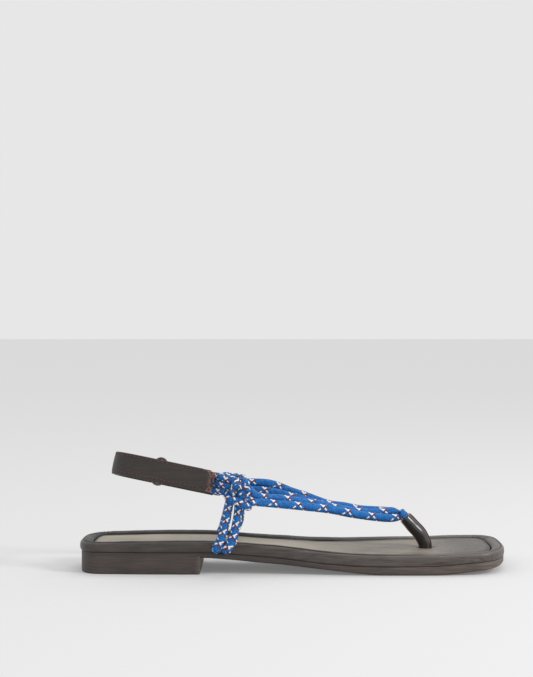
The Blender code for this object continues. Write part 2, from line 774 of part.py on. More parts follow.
def strap_path():
    """Plan of the heel strap in its plane, from the free tip on the lateral side round the back to
    the medial end: points with outward normals."""
    half = STRAP_LOOP_WIDTH / 2
    corner_x = -STRAP_BACK + STRAP_BACK_CORNER
    tip = [1.0, 0.93, 0.75, 0.5, 0.22, 0.0]
    round_part = STRAP_WIDTH / 2
    xs = [STRAP_TIP - round_part * (1 - f) for f in tip]
    xs += [xs[-1] + (corner_x - xs[-1]) * k / 3 for k in (1, 2)]
    spots = [(Vector((x, -half)), Vector((0, -1))) for x in xs]
    for side, angles in ((-1, range(0, 91, 15)), (1, range(90, -1, -15))):
        centre = Vector((corner_x, side * (half - STRAP_BACK_CORNER)))
        for angle in angles:
            normal = Vector((-sin(radians(angle)), side * cos(radians(angle))))
            spots.append((centre + normal * STRAP_BACK_CORNER, normal))
    stretch = STRAP_MEDIAL_END - 1.5 * ROPE_POCKET
    for x in (0.0, stretch, stretch + 0.5 * ROPE_POCKET, STRAP_MEDIAL_END):
        spots.append((Vector((x, half)), Vector((0, 1))))
    return spots


def make_strap():
    """Heel strap with its rounded free tip; its medial end is doubled to hold the rope ends."""
    half = STRAP_WIDTH / 2
    sections = []
    for point, normal in strap_path():
        width = half
        inwards = STRAP_THICK / 2
        if point.y < 0 and normal.y < -0.99:
            gone = max(0.0, 1 - (STRAP_TIP - point.x) / half)
            width = half * sqrt(max(1 - gone * gone, 0.03))
        if point.y > 0 and point.x > STRAP_MEDIAL_END - 1.1 * ROPE_POCKET:
            inwards = rope_gap() + LAYER_THICK - STRAP_THICK / 2 + LAYER_THICK
        sections.append((point, normal, STRAP_THICK / 2, inwards, width))
    strap = ribbon("heel_strap", sections, strap_frame())
    cut(strap, rope_socket(), "DIFFERENCE")
    return strap


def rope_socket():
    """Cutter for the gap between the doubled layers of the strap's medial end."""
    bm = bmesh.new()
    bmesh.ops.create_cube(bm, size=1.0)
    size = Vector((2 * ROPE_POCKET, rope_gap(), 1.2 * STRAP_WIDTH))
    middle = Vector((STRAP_MEDIAL_END, strap_gap_y(), 0.0))
    for v in bm.verts:
        v.co = strap_frame() @ (middle + Vector((v.co.x * size.x, v.co.y * size.y, v.co.z * size.z)))
    return finish_mesh("rope_socket", bm)


def make_tab():
    """Leather strip folded round the ring's wire, its two layers open at the front for the ropes."""
    outer_y = tab_gap_y() - rope_gap() / 2 - LAYER_THICK / 2
    inner_y = tab_gap_y() + rope_gap() / 2 + LAYER_THICK / 2
    wire_r = RING_WIRE / 2 + CLEARANCE + LAYER_THICK / 2
    wire_x = RING_PLACE + RING_LENGTH / 2 - RING_WIRE / 2
    wire_y = outer_y + wire_r
    near = TAB_END - ROPE_POCKET
    narrow = (RING_HEIGHT - RING_WIRE) / 2 - RING_BEND - CLEARANCE
    taper_x = wire_x + 0.005
    spots = [(Vector((x, outer_y)), Vector((0, -1))) for x in (TAB_END, taper_x, wire_x)]
    for angle in range(30, 151, 30):
        normal = Vector((-sin(radians(angle)), -cos(radians(angle))))
        spots.append((Vector((wire_x, wire_y)) + normal * wire_r, normal))
    fold_y = outer_y + 2 * wire_r
    spots.append((Vector((wire_x, fold_y)), Vector((0, 1))))
    spots.append((Vector((taper_x, fold_y)), Vector((0, 1))))
    spots.append((Vector((near, inner_y)), Vector((0, 1))))
    spots.append((Vector((TAB_END, inner_y)), Vector((0, 1))))
    half_layer = LAYER_THICK / 2
    sections = []
    for point, normal in spots:
        half = STRAP_WIDTH / 2 if point.x > taper_x - CLEARANCE else narrow
        sections.append((point, normal, half_layer, half_layer, half))
    return ribbon("strap_tab", sections, strap_frame())


def make_patch():
    """Hook-and-loop patch on the tab's outer face."""
    y = tab_gap_y() - rope_gap() / 2 - LAYER_THICK - CLEARANCE - PATCH_THICK / 2
    half = STRAP_WIDTH / 2 - 0.0006
    ends = (Vector((PATCH_END, y)), Vector((PATCH_END - PATCH_LENGTH, y)))
    sections = [(p, Vector((0, -1)), PATCH_THICK / 2, PATCH_THICK / 2, half) for p in ends]
    return ribbon("hook_patch", sections, strap_frame())


def make_ring():
    """Wire ring: a long loop with round corners, its front leg in the tab's fold."""
    wire_y = tab_gap_y() - rope_gap() / 2 + RING_WIRE / 2 + CLEARANCE
    half_x = (RING_LENGTH - RING_WIRE) / 2
    half_z = (RING_HEIGHT - RING_WIRE) / 2
    sides = 10
    frame = strap_frame()
    bm = bmesh.new()
    rings = []
    for cx, cz, start in ((1, 1, 0), (-1, 1, 90), (-1, -1, 180), (1, -1, 270)):
        for step in range(0, 91, 15):
            angle = radians(start + step)
            spoke = Vector((cos(angle), 0, sin(angle)))
            middle = Vector((RING_PLACE + cx * (half_x - RING_BEND), wire_y, cz * (half_z - RING_BEND)))
            middle += spoke * RING_BEND
            ring = []
            for k in range(sides):
                turn = 2 * pi * k / sides
                point = middle + (spoke * cos(turn) + Vector((0, 1, 0)) * sin(turn)) * RING_WIRE / 2
                ring.append(bm.verts.new(frame @ point))
            rings.append(ring)
    for low, high in zip(rings, rings[1:] + rings[:1]):
        for k in range(sides):
            m = (k + 1) % sides
            bm.faces.new((low[k], low[m], high[m], high[k]))
    return finish_mesh("strap_ring", bm)


def main():
    for obj in list(bpy.data.objects):
        bpy.data.objects.remove(obj, do_unlink=True)
    outsole = make_outsole()
    wrap = make_wrap()
    for name in UPRIGHTS:
        cut(wrap, seam_pocket(name), "DIFFERENCE")
        cut(outsole, seam_pocket(name), "DIFFERENCE")
    panel = make_panel()
    cut(panel, post_hole(), "DIFFERENCE")
    pieces = [outsole, wrap, panel, make_post(), make_ropes()]
    pieces += [make_strap(), make_tab(), make_patch(), make_ring()]
    for obj in (outsole, wrap, panel):
        clean(obj, 0.00001)
    for obj in pieces:
        paint(obj)


main()
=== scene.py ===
from math import cos, exp, pi, radians, sin, sqrt

import bmesh
import bpy
from mathutils import Matrix, Vector, noise
from mathutils.kdtree import KDTree


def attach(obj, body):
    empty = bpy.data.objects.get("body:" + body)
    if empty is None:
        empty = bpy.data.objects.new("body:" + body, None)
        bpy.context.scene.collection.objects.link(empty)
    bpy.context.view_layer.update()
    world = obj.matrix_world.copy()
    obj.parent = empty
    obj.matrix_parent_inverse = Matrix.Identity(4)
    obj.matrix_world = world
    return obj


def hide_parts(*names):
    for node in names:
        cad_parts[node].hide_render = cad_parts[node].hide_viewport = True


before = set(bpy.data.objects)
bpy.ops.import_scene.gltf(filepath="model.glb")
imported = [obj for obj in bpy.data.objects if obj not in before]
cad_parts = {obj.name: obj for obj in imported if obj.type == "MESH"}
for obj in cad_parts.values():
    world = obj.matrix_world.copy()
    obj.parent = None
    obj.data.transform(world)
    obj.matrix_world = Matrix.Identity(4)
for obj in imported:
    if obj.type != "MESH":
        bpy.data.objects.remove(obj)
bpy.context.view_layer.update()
mm = 0.001
print("frame loaded")


def tint(hexText):  # sRGB hex to the linear colour a shader takes
    channels = [int(hexText[i:i + 2], 16) / 255 for i in (1, 3, 5)]
    return tuple(c / 12.92 if c <= 0.04045 else ((c + 0.055) / 1.055) ** 2.4 for c in channels) + (1.0,)


def addNode(tree, kind, settings=None, inputs=None):  # one node with its settings and links
    node = tree.nodes.new(kind)
    for name, value in (settings or {}).items():
        setattr(node, name, value)
    for name, value in (inputs or {}).items():
        if isinstance(value, bpy.types.NodeSocket):
            tree.links.new(value, node.inputs[name])
        else:
            node.inputs[name].default_value = value
    return node


def newMaterial(name, settings):
    material = bpy.data.materials.new(name)
    material.use_nodes = True
    tree = material.node_tree
    shader = tree.nodes["Principled BSDF"]
    for socket, value in settings.items():
        shader.inputs[socket].default_value = value
    return material, tree, shader


def mottled(name, size, detail, dark, light, settings):  # a material of two colours in soft patches
    material, tree, shader = newMaterial(name, settings)
    place = addNode(tree, "ShaderNodeTexCoord").outputs["Object"]
    patches = addNode(tree, "ShaderNodeTexNoise", {}, {
        "Vector": place, "Scale": 1 / (size * mm), "Detail": detail})
    colour = addNode(tree, "ShaderNodeMix", {"data_type": "RGBA"}, {
        0: patches.outputs[0], 6: tint(dark), 7: tint(light)})
    tree.links.new(colour.outputs[2], shader.inputs["Base Color"])
    return material, tree, shader, patches, colour


def addObject(name, data):
    made = bpy.data.objects.new(name, data)
    bpy.context.scene.collection.objects.link(made)
    return made


def easeRows(rows, x, column):  # smooth curve through a table's rows, without overshoot
    x = min(max(x, rows[0][0]), rows[-1][0])
    i = max(k for k in range(len(rows) - 1) if rows[k][0] <= x)

    def slope(k):
        lo, hi = max(k - 1, 0), min(k + 1, len(rows) - 1)
        before = (rows[k][column] - rows[lo][column]) / max(rows[k][0] - rows[lo][0], 1e-9)
        after = (rows[hi][column] - rows[k][column]) / max(rows[hi][0] - rows[k][0], 1e-9)
        if lo == k or hi == k:
            return after if lo == k else before
        return 0.0 if before * after <= 0 else 2 * before * after / (before + after)

    a, b = rows[i], rows[i + 1]
    span = b[0] - a[0]
    t = (x - a[0]) / span
    return (a[column] * (1 + 2 * t) * (1 - t) ** 2 + b[column] * t * t * (3 - 2 * t)
            + span * (slope(i) * t * (1 - t) ** 2 - slope(i + 1) * t * t * (1 - t)))


def bell(distance, width):  # 1 in the middle, soft towards the sides
    return exp(-(distance / width) ** 2)


def rampUp(value, start, length):  # 0 up to start, 1 from a length further on
    return min(1.0, max(0.0, (value - start) / length))


def wander(x, y, z, size):  # slow smooth noise, the same every run
    return noise.noise(Vector((x, y, z)) / size)


def bendGrid(bm, along, across, place, length, girth, toneAndShading=None):
    # lays a flat grid on a shape: place(s, t) gives a point in mm, s and t run from 0 to 1
    uvLayer = bm.loops.layers.uv.get("UVMap") or bm.loops.layers.uv.new("UVMap")
    shadingLayer = bm.verts.layers.float.get("toneAndShading") or bm.verts.layers.float.new("toneAndShading")
    made = bmesh.ops.create_grid(bm, x_segments=along, y_segments=across, size=0.5, calc_uvs=True)
    for vert in made["verts"]:
        s, t = vert.co.x + 0.5, vert.co.y + 0.5
        vert.co = Vector(place(s, t)) * mm
        if toneAndShading:
            vert[shadingLayer] = toneAndShading(s, t)
    for face in {f for v in made["verts"] for f in v.link_faces}:
        for loop in face.loops:
            loop[uvLayer].uv.x *= length
            loop[uvLayer].uv.y *= girth
    return made["verts"]


def closeUp(bm):  # joins the grid's edges, fills its open ends and turns the faces out
    bmesh.ops.remove_doubles(bm, verts=bm.verts, dist=1e-6)
    openEdges = [e for e in bm.edges if e.is_boundary]
    if openEdges:
        bmesh.ops.holes_fill(bm, edges=openEdges, sides=0)
    bmesh.ops.recalc_face_normals(bm, faces=bm.faces)


def finishPiece(name, bm, material, sharp=None):
    mesh = bpy.data.meshes.new(name)
    bm.to_mesh(mesh)
    bm.free()
    mesh.shade_smooth()
    if sharp:
        mesh.set_sharp_from_angle(angle=radians(sharp))
    mesh.materials.append(material)
    piece = addObject(name, mesh)
    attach(piece, "root")
    return piece


def smoothRoute(points, step):  # even rows on a smooth curve through (x, y, z, thickness) in mm
    rows = [Vector(p) for p in points]
    fine = []
    for i in range(len(rows) - 1):
        a, b = rows[i], rows[i + 1]
        before = rows[i - 1] if i else a * 2 - b
        after = rows[i + 2] if i + 2 < len(rows) else b * 2 - a
        for k in range(20):
            t = k / 20
            fine.append((a * 2 + (b - before) * t + (before * 2 - a * 5 + b * 4 - after) * t * t
                         + (a * 3 - before - b * 3 + after) * t ** 3) / 2)
    fine.append(rows[-1])
    walked = [0.0]
    for a, b in zip(fine, fine[1:]):
        walked.append(walked[-1] + (b.xyz - a.xyz).length)
    count = max(4, round(walked[-1] / step))
    even, k = [], 0
    for i in range(count + 1):
        target = walked[-1] * i / count
        while k < len(fine) - 2 and walked[k + 1] < target:
            k += 1
        t = (target - walked[k]) / max(walked[k + 1] - walked[k], 1e-9)
        even.append(fine[k].lerp(fine[k + 1], min(max(t, 0.0), 1.0)))
    return even, walked[-1]


# leather: dyed cowhide, buffed smooth; pores about 0.3 mm are drawn at 0.8 mm so that they show,
# with cloudy dye, and paler or darker by the vertex attribute, which mostly holds painted highlights and
# painted shade (the folded colour is mostly painted shade) and some real tone
def leather(look):
    material, tree, shader = newMaterial(look["name"], {
        "IOR": 1.5, "Specular IOR Level": look.get("shine", 0.5), "Coat Weight": look.get("coat", 0.0),
        "Coat Roughness": look.get("coatRough", 0.3), "Coat IOR": look.get("coatIor", 1.5),
        "Sheen Weight": look.get("sheen", 0.0), "Sheen Roughness": 0.4})
    place = addNode(tree, "ShaderNodeTexCoord").outputs["Object"]
    pores = addNode(tree, "ShaderNodeTexVoronoi", {}, {"Vector": place, "Scale": 1 / (look["pore"] * mm)})
    creases = addNode(tree, "ShaderNodeTexNoise", {}, {
        "Vector": place, "Scale": 1 / (look["crease"] * mm), "Detail": 5.0, "Roughness": 0.6})
    clouds = addNode(tree, "ShaderNodeTexNoise", {}, {
        "Vector": place, "Scale": 1 / (14 * mm), "Detail": 3.0})
    stretch = addNode(tree, "ShaderNodeMapping", {}, {"Vector": place, "Scale": (0.035, 1.0, 1.0)})
    drag = addNode(tree, "ShaderNodeTexNoise", {}, {
        "Vector": stretch.outputs[0], "Scale": 1 / (0.9 * mm), "Detail": 4.0, "Roughness": 0.6})
    dye = addNode(tree, "ShaderNodeMapRange", {}, {
        "Value": clouds.outputs[0], "From Min": 0.3, "From Max": 0.7, "To Min": 0.0, "To Max": 1.0})
    streak = addNode(tree, "ShaderNodeMapRange", {}, {
        "Value": drag.outputs[0], "From Min": 0.35, "From Max": 0.7,
        "To Min": 0.0, "To Max": look["streak"]})
    toneAndShading = addNode(tree, "ShaderNodeAttribute", {"attribute_name": "toneAndShading"})
    paleShare = addNode(tree, "ShaderNodeMath", {"operation": "MULTIPLY", "use_clamp": True}, {
        0: toneAndShading.outputs["Fac"], 1: 1.0})
    darkShare = addNode(tree, "ShaderNodeMath", {"operation": "MULTIPLY", "use_clamp": True}, {
        0: toneAndShading.outputs["Fac"], 1: -1.0})
    colour = addNode(tree, "ShaderNodeMix", {"data_type": "RGBA"}, {
        0: dye.outputs[0], 6: tint(look["dark"]), 7: tint(look["light"])})
    for share, over in ((streak, "rubbedAndLit"), (paleShare, "rubbedAndLit"), (darkShare, "folded")):
        colour = addNode(tree, "ShaderNodeMix", {"data_type": "RGBA"}, {
            0: share.outputs[0], 6: colour.outputs[2], 7: tint(look[over])})
    tree.links.new(colour.outputs[2], shader.inputs["Base Color"])
    gloss = addNode(tree, "ShaderNodeMapRange", {}, {
        "Value": creases.outputs[0], "From Min": 0.3, "From Max": 0.7,
        "To Min": look["rough"] - 0.06, "To Max": look["rough"] + 0.08})
    tree.links.new(gloss.outputs[0], shader.inputs["Roughness"])
    relief = addNode(tree, "ShaderNodeMath", {"operation": "MULTIPLY_ADD"}, {
        0: creases.outputs[0], 1: 1.6, 2: pores.outputs["Distance"]})
    raised = addNode(tree, "ShaderNodeBump", {}, {
        "Height": relief.outputs[0], "Strength": look["bump"], "Distance": 0.12 * mm})
    tree.links.new(raised.outputs[0], shader.inputs["Normal"])
    return material


# plan and side profile shared by the sole's pieces, in mm from the heel's middle
soleShape = {
    "back": -35.5,
    "toe": 214.5,
    "backMiddle": -1.0,
    "toeMiddle": 20.9,
    "heelCorner": 16.0,
    "lateralCorner": 25.0,
    "medialCorner": 13.0,
    "power": 3.0,
    "plan": (  # x, outer edge, inner edge
        (-35.5, -26.5, 24.5), (-15.5, -27.6, 25.6), (9.5, -29.0, 26.0), (24.5, -29.3, 25.6),
        (44.5, -29.0, 23.4), (61.5, -28.6, 21.6), (77.5, -28.8, 22.8), (93.5, -29.8, 28.8),
        (106.5, -31.1, 35.6), (118.5, -32.0, 41.0), (131.5, -32.7, 45.4), (144.5, -33.0, 49.0),
        (157.5, -33.0, 52.0), (166.5, -32.9, 53.6), (176.5, -32.4, 53.9), (188.5, -31.2, 52.4),
        (201.5, -29.3, 48.1), (214.5, -27.0, 43.5),
    ),
    "profile": (  # x, underside, joint, top of the rim
        (-35.5, 9.30, 12.50, 17.73), (-20.5, 9.30, 12.50, 18.06), (7.0, 9.30, 12.50, 18.66),
        (37.0, 9.30, 12.50, 18.93), (49.5, 8.56, 11.96, 18.45), (69.5, 6.60, 10.35, 16.99),
        (82.0, 5.58, 9.28, 15.98), (92.5, 4.46, 8.11, 14.81), (104.5, 3.16, 6.66, 13.36),
        (114.5, 2.14, 5.89, 12.59), (127.0, 0.84, 5.19, 11.89), (139.5, 0.00, 5.00, 11.70),
        (154.5, 0.00, 5.05, 11.55), (169.5, 0.00, 5.25, 11.35), (178.5, 0.40, 5.80, 11.63),
        (189.5, 1.52, 6.72, 12.28), (202.0, 2.64, 7.39, 12.88), (214.5, 4.00, 8.10, 13.46),
    ),
}


def edgeAt(x, side):  # y of the footbed's outer (-1) or inner (1) edge
    shape = soleShape
    y = easeRows(shape["plan"], x, 1 if side < 0 else 2)

    def left(distance, length):
        if distance >= length:
            return 1.0
        return (1 - (1 - max(distance, 0.0) / length) ** shape["power"]) ** (1 / shape["power"])

    toeCorner = shape["lateralCorner"] if side < 0 else shape["medialCorner"]
    y = shape["backMiddle"] + (y - shape["backMiddle"]) * left(x - shape["back"], shape["heelCorner"])
    return shape["toeMiddle"] + (y - shape["toeMiddle"]) * left(shape["toe"] - x, toeCorner)


def heights(x):
    return [easeRows(soleShape["profile"], x, k) for k in (1, 2, 3)]


def stationList(toe, endSteps, sideSteps, cornerToe):  # x of each section, closer round the corners
    shape = soleShape
    power = shape["power"]
    fractions = [sin(pi / 2 * k / endSteps) ** 2 for k in range(endSteps)]
    back = [shape["back"] + shape["heelCorner"] * (1 - (1 - f * f) ** (1 / power)) for f in fractions]
    start = shape["back"] + shape["heelCorner"]
    if not cornerToe:
        return back + [start + (toe - start) * k / sideSteps for k in range(sideSteps + 1)]
    stop = toe - shape["lateralCorner"]
    front = [toe - shape["lateralCorner"] * (1 - (1 - f * f) ** (1 / power)) for f in fractions[::-1]]
    return back + [start + (stop - start) * k / sideSteps for k in range(sideSteps)] + front


def edgePoints(stations):  # plan points along the outer and the inner edge
    return [[Vector((x, edgeAt(x, side))) for x in stations] for side in (-1, 1)]


def outwardsRound(loop):  # each point's outward direction and the length walked up to it
    outwards, walked = [], [0.0]
    for i, point in enumerate(loop):
        before, after = loop[i - 1], loop[(i + 1) % len(loop)]
        run = (after - point).normalized() + (point - before).normalized()
        outwards.append(Vector((run.y, -run.x)).normalized())
        walked.append(walked[-1] + (after - point).length)
    return outwards, walked


outerEdge, innerEdge = edgePoints(stationList(soleShape["toe"], 54, 110, True))
footbedLoop = outerEdge + innerEdge[-2:0:-1]
footbedOut, footbedWalked = outwardsRound(footbedLoop)


def wrapRound(bm, section, steps, relief=None, toneAndShading=None):
    # sweeps rows of (inwards, height at x, share of the way to the middle line) round the plan;
    # the middle line ends 14 mm short of the back and of the toe
    count = len(footbedLoop)

    def spot(s, t):
        i = round(s * count) % count
        k = min(int(t * (len(section) - 1) + 1e-6), len(section) - 2)
        part = t * (len(section) - 1) - k
        point, out = footbedLoop[i], footbedOut[i]
        inwards, toMiddle = (section[k][c] + (section[k + 1][c] - section[k][c]) * part for c in (0, 2))
        middleX = min(max(point.x, soleShape["back"] + 14), soleShape["toe"] - 14)
        middle = Vector((middleX, (edgeAt(middleX, -1) + edgeAt(middleX, 1)) / 2))
        flat = (point - out * inwards).lerp(middle, toMiddle)
        low, high = section[k][1](flat.x), section[k + 1][1](flat.x)
        return i, out * (1 - toMiddle), flat, low + (high - low) * part

    def put(s, t):
        i, out, flat, z = spot(s, t)
        if relief:
            inwards, lift = relief(footbedWalked[i], t, flat.x, flat.y)
            flat, z = flat - out * inwards, z + lift
        return flat.x, flat.y, z

    def tone(s, t):
        i, out, flat, z = spot(s, t)
        return toneAndShading(footbedWalked[i], t, flat.x, flat.y)

    bendGrid(bm, count, steps, put, footbedWalked[-1], 24.0, tone if toneAndShading else None)


# the footbed's wrap: a leather strip drawn over the edge of the board and padded into a rim
wrapLook = {
    "name": "smooth dyed cowhide, padded rim",
    "dark": "#352e2b", "light": "#443c38", "rubbedAndLit": "#6f6660", "folded": "#120e0c",
    "pore": 0.8, "crease": 1.5, "rough": 0.44, "bump": 0.5, "streak": 0.6,
}
rim = {
    "width": 7.6,
    "recess": 3.1,
    "section": (  # share of the rim's width inwards, share of the footbed's height up
        (0.10, 0.0), (0.045, 0.05), (0.015, 0.17), (0.00, 0.34), (0.00, 0.50), (0.01, 0.64),
        (0.03, 0.76), (0.075, 0.86), (0.135, 0.93), (0.20, 0.955), (0.25, 0.885), (0.275, 0.915),
        (0.33, 0.985), (0.42, 1.03), (0.52, 1.045), (0.62, 1.03), (0.72, 0.99), (0.81, 0.93),
        (0.89, 0.86), (0.95, 0.76), (0.99, 0.64), (1.0, 0.5),
    ),
    "shoulderCrease": 0.47,  # where along the section the crease below the rim runs, 0 to 1
    "pleats": (  # x, y near the corner, spacing in mm, how many
        (207.0, 41.5, 2.6, 7), (207.5, -20.0, 3.0, 5), (-29.5, 18.5, 2.7, 6), (-29.5, -20.5, 2.8, 6),
    ),
}


def wrapPleats(walkedHere, t, x, y):  # short radial gathers where the strip turns a tight corner
    depth = 0.0
    for px, py, spacing, number in rim["pleats"]:
        away = Vector((x - px, y - py)).length
        if away > 0.9 * spacing * number:
            continue
        fade = bell(away, 0.6 * spacing * number)
        phase = walkedHere / spacing + 0.35 * wander(walkedHere, px, 0, 3.1)
        groove = abs((phase % 1.0) - 0.5) * 2
        depth += fade * max(0.0, groove - 0.45) / 0.55
    return min(depth, 1.0) * rampUp(t, 0.5, 0.1)


def wrapRelief(walkedHere, t, x, y):
    waves = 0.16 * wander(x, y, 0, 11.0) + 0.06 * wander(x, y, 9, 3.5)
    pleat = wrapPleats(walkedHere, t, x, y)
    side = bell(t - 0.22, 0.16)
    soft = 0.14 * wander(walkedHere, 30 * t, 0, 7.0) * side
    waves -= 0.28 * bell(t - 0.66, 0.12) * rampUp(x, 110, 50)  # the bead is lower at the toes
    return soft + 0.12 * pleat, waves * rampUp(t, 0.35, 0.25) - 0.45 * pleat


# painted light and shade on the rim: a painted highlight along the outer shoulder and on the bead towards
# the toe; painted shade in the crease, on the bead and its outer slope along the sides, in the pleats and
# on the inner edge; also darker towards the heel and along the bottom edge at the joint with the sole
def wrapShading(walkedHere, t, x, y):
    crease = bell(t - rim["shoulderCrease"], 0.03)
    shoulder = bell(t - 0.385, 0.07)
    front = rampUp(x, 60, 90)
    along = 1 / (1 + exp((x - 152) / 9)) * (0.5 + 0.5 * front)  # painted shade: the bead is darker along the sides
    bead = rampUp(t, 0.44, 0.05) * rampUp(0.98 - t, 0, 0.05)
    outerSlope = rampUp(t, 0.425, 0.03) * rampUp(0.575 - t, 0, 0.03)
    foot = bell(t, 0.05)
    patchy = 0.6 + 0.5 * wander(walkedHere, 0, 5, 12.0)
    pleat = wrapPleats(walkedHere, t, x, y)
    innerEdgeDark = rampUp(t, 0.78, 0.05)
    return (0.75 * shoulder * patchy * (0.35 + 0.65 * front) + 0.25 * bead * (1 - along) * patchy
            - 0.42 * (1 - front) - 0.9 * crease - 0.95 * bead * along - outerSlope
            - 0.35 * foot - 1.7 * pleat - 0.9 * innerEdgeDark)


def rimHeight(share):
    return lambda x: heights(x)[1] + 0.1 + (heights(x)[2] - heights(x)[1] - 0.1) * share


def recessFloor(x):
    return heights(x)[2] - rim["recess"]


wrapSection = [(1.5, rimHeight(0.0), 1.0), (1.5, rimHeight(0.0), 0.0)]
wrapSection += [(a * rim["width"], rimHeight(b), 0.0) for a, b in rim["section"]]
wrapSection += [(rim["width"] + 0.1, recessFloor, 0.0), (rim["width"] + 0.1, recessFloor, 1.0)]
bm = bmesh.new()
wrapRound(bm, wrapSection, 2 * (len(wrapSection) - 1), wrapRelief, wrapShading)
closeUp(bm)
wrapPiece = finishPiece("padded_rim", bm, leather(wrapLook))
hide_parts("footbed_wrap")
print("rim wrapped")


# the insole: one soft panel glued into the recess, pressed down round the toe post
insoleLook = {
    "name": "smooth dyed cowhide, soft insole",
    "dark": "#4e453c", "light": "#62584d", "rubbedAndLit": "#a99d8a", "folded": "#241c17",
    "pore": 0.8, "crease": 2.2, "rough": 0.47, "bump": 0.42, "streak": 0.55, "sheen": 0.05,
}
insole = {
    "gap": 0.5,  # between the panel's edge and the rim
    "rounding": 1.4,
    "sunk": 1.5,  # how far the panel lies below the rim's top
    "post": (168.5, 12.5),
    "dimple": 1.1,
    "dimpleSize": 7.0,
    "flatRows": 14,
}


def panelTop(x):  # nearly level with the rim's top at the toe
    forward = rampUp(x, 110, 55)
    return heights(x)[2] - insole["sunk"] + 0.5 * forward * forward * (3 - 2 * forward)


def insoleRelief(walkedHere, t, x, y):
    away = Vector((x - insole["post"][0], y - insole["post"][1])).length
    dimple = -insole["dimple"] * bell(away, insole["dimpleSize"])
    footprint = 0.10 * wander(x, y, 3, 24.0) + 0.05 * wander(x, y, 7, 6.0)
    return 0.0, (dimple + footprint) * (t > 0.3)


def insoleToneAndShade(walkedHere, t, x, y):
    px, py = insole["post"]
    away = Vector((x - px, y - py)).length
    ring = bell(away - 4.2, 1.8)  # painted shade in the dimple round the foot of the post
    slit = bell(y - py + 0.4, 0.45) * (1 if 3.4 < x - px < 8.6 else 0)  # painted shade of a short cut in front of it
    # paler at the heel and the middle, darker towards the toe
    tone = 0.65 * bell(x + 5, 80) + 0.6 * bell(x - 85, 34) - 0.68 * rampUp(x, 166, 24)
    # painted shade on the rounded edge where the panel drops to the gap
    rounded = rampUp(0.47 - t, 0, 0.05)
    return tone + 0.12 * wander(x, y, 1, 16.0) - 0.9 * ring - 0.6 * slit - 0.85 * rounded


edge = rim["width"] + insole["gap"]
insoleSection = [(edge, lambda x: recessFloor(x) + 0.2, share) for share in (1.0, 0.0)]
for k in range(7):  # rounded edge
    angle = pi / 2 * k / 6
    insoleSection.append((edge + insole["rounding"] * (1 - cos(angle)),
                          lambda x, a=angle: panelTop(x) - insole["rounding"] * 0.6 * (1 - sin(a)), 0.0))
for k in range(1, insole["flatRows"] + 1):
    insoleSection.append((edge + insole["rounding"], panelTop, k / insole["flatRows"]))
bm = bmesh.new()
wrapRound(bm, insoleSection, len(insoleSection) - 1, insoleRelief, insoleToneAndShade)
closeUp(bm)
insolePiece = finishPiece("soft_insole", bm, leather(insoleLook))
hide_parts("insole_panel")
print("insole laid")


# the outsole: thermoplastic rubber moulded in one piece with the low heel; injection moulded
# rubber is matt, with faint flow clouds and fine drag lines along the edge
outsole = {
    "inset": 0.4,
    "heelFront": 35.5,
    "heelSteps": (  # inwards, height in mm
        (6.0, 0.0), (1.8, 0.0), (1.45, 0.05), (1.1, 0.3), (0.95, 0.75), (0.9, 4.0), (0.9, 8.0),
        (0.9, 10.6)),
    "rounding": 1.1,
    "colour": "#413836", "paleAndLit": "#675a51", "shade": "#2c2523",
}


def mouldedRubber():
    material, tree, shader = newMaterial("moulded thermoplastic rubber, matt", {
        "Roughness": 0.58, "IOR": 1.5})
    place = addNode(tree, "ShaderNodeTexCoord").outputs["Object"]
    clouds = addNode(tree, "ShaderNodeTexNoise", {}, {
        "Vector": place, "Scale": 1 / (18 * mm), "Detail": 4.0})
    stretch = addNode(tree, "ShaderNodeMapping", {}, {"Vector": place, "Scale": (0.06, 0.06, 1.0)})
    drag = addNode(tree, "ShaderNodeTexNoise", {}, {
        "Vector": stretch.outputs[0], "Scale": 1 / (0.9 * mm), "Detail": 3.0})
    grit = addNode(tree, "ShaderNodeTexNoise", {}, {
        "Vector": place, "Scale": 1 / (0.7 * mm), "Detail": 2.0})
    toneAndShading = addNode(tree, "ShaderNodeAttribute", {"attribute_name": "toneAndShading"})
    # the paler colour follows the flow clouds and the painted light in the vertex attribute
    cloudsAndLight = addNode(tree, "ShaderNodeMath", {"operation": "MULTIPLY_ADD", "use_clamp": True}, {
        0: clouds.outputs[0], 1: 0.5, 2: toneAndShading.outputs["Fac"]})
    base = addNode(tree, "ShaderNodeMix", {"data_type": "RGBA"}, {
        0: cloudsAndLight.outputs[0], 6: tint(outsole["colour"]), 7: tint(outsole["paleAndLit"])})
    line = addNode(tree, "ShaderNodeMapRange", {}, {
        "Value": drag.outputs[0], "From Min": 0.42, "From Max": 0.62, "To Min": 0.45, "To Max": 0.0})
    lined = addNode(tree, "ShaderNodeMix", {"data_type": "RGBA"}, {
        0: line.outputs[0], 6: base.outputs[2], 7: tint(outsole["shade"])})
    tree.links.new(lined.outputs[2], shader.inputs["Base Color"])
    relief = addNode(tree, "ShaderNodeMath", {"operation": "ADD"}, {0: drag.outputs[0], 1: grit.outputs[0]})
    raised = addNode(tree, "ShaderNodeBump", {}, {
        "Height": relief.outputs[0], "Strength": 0.35, "Distance": 0.15 * mm})
    tree.links.new(raised.outputs[0], shader.inputs["Normal"])
    return material


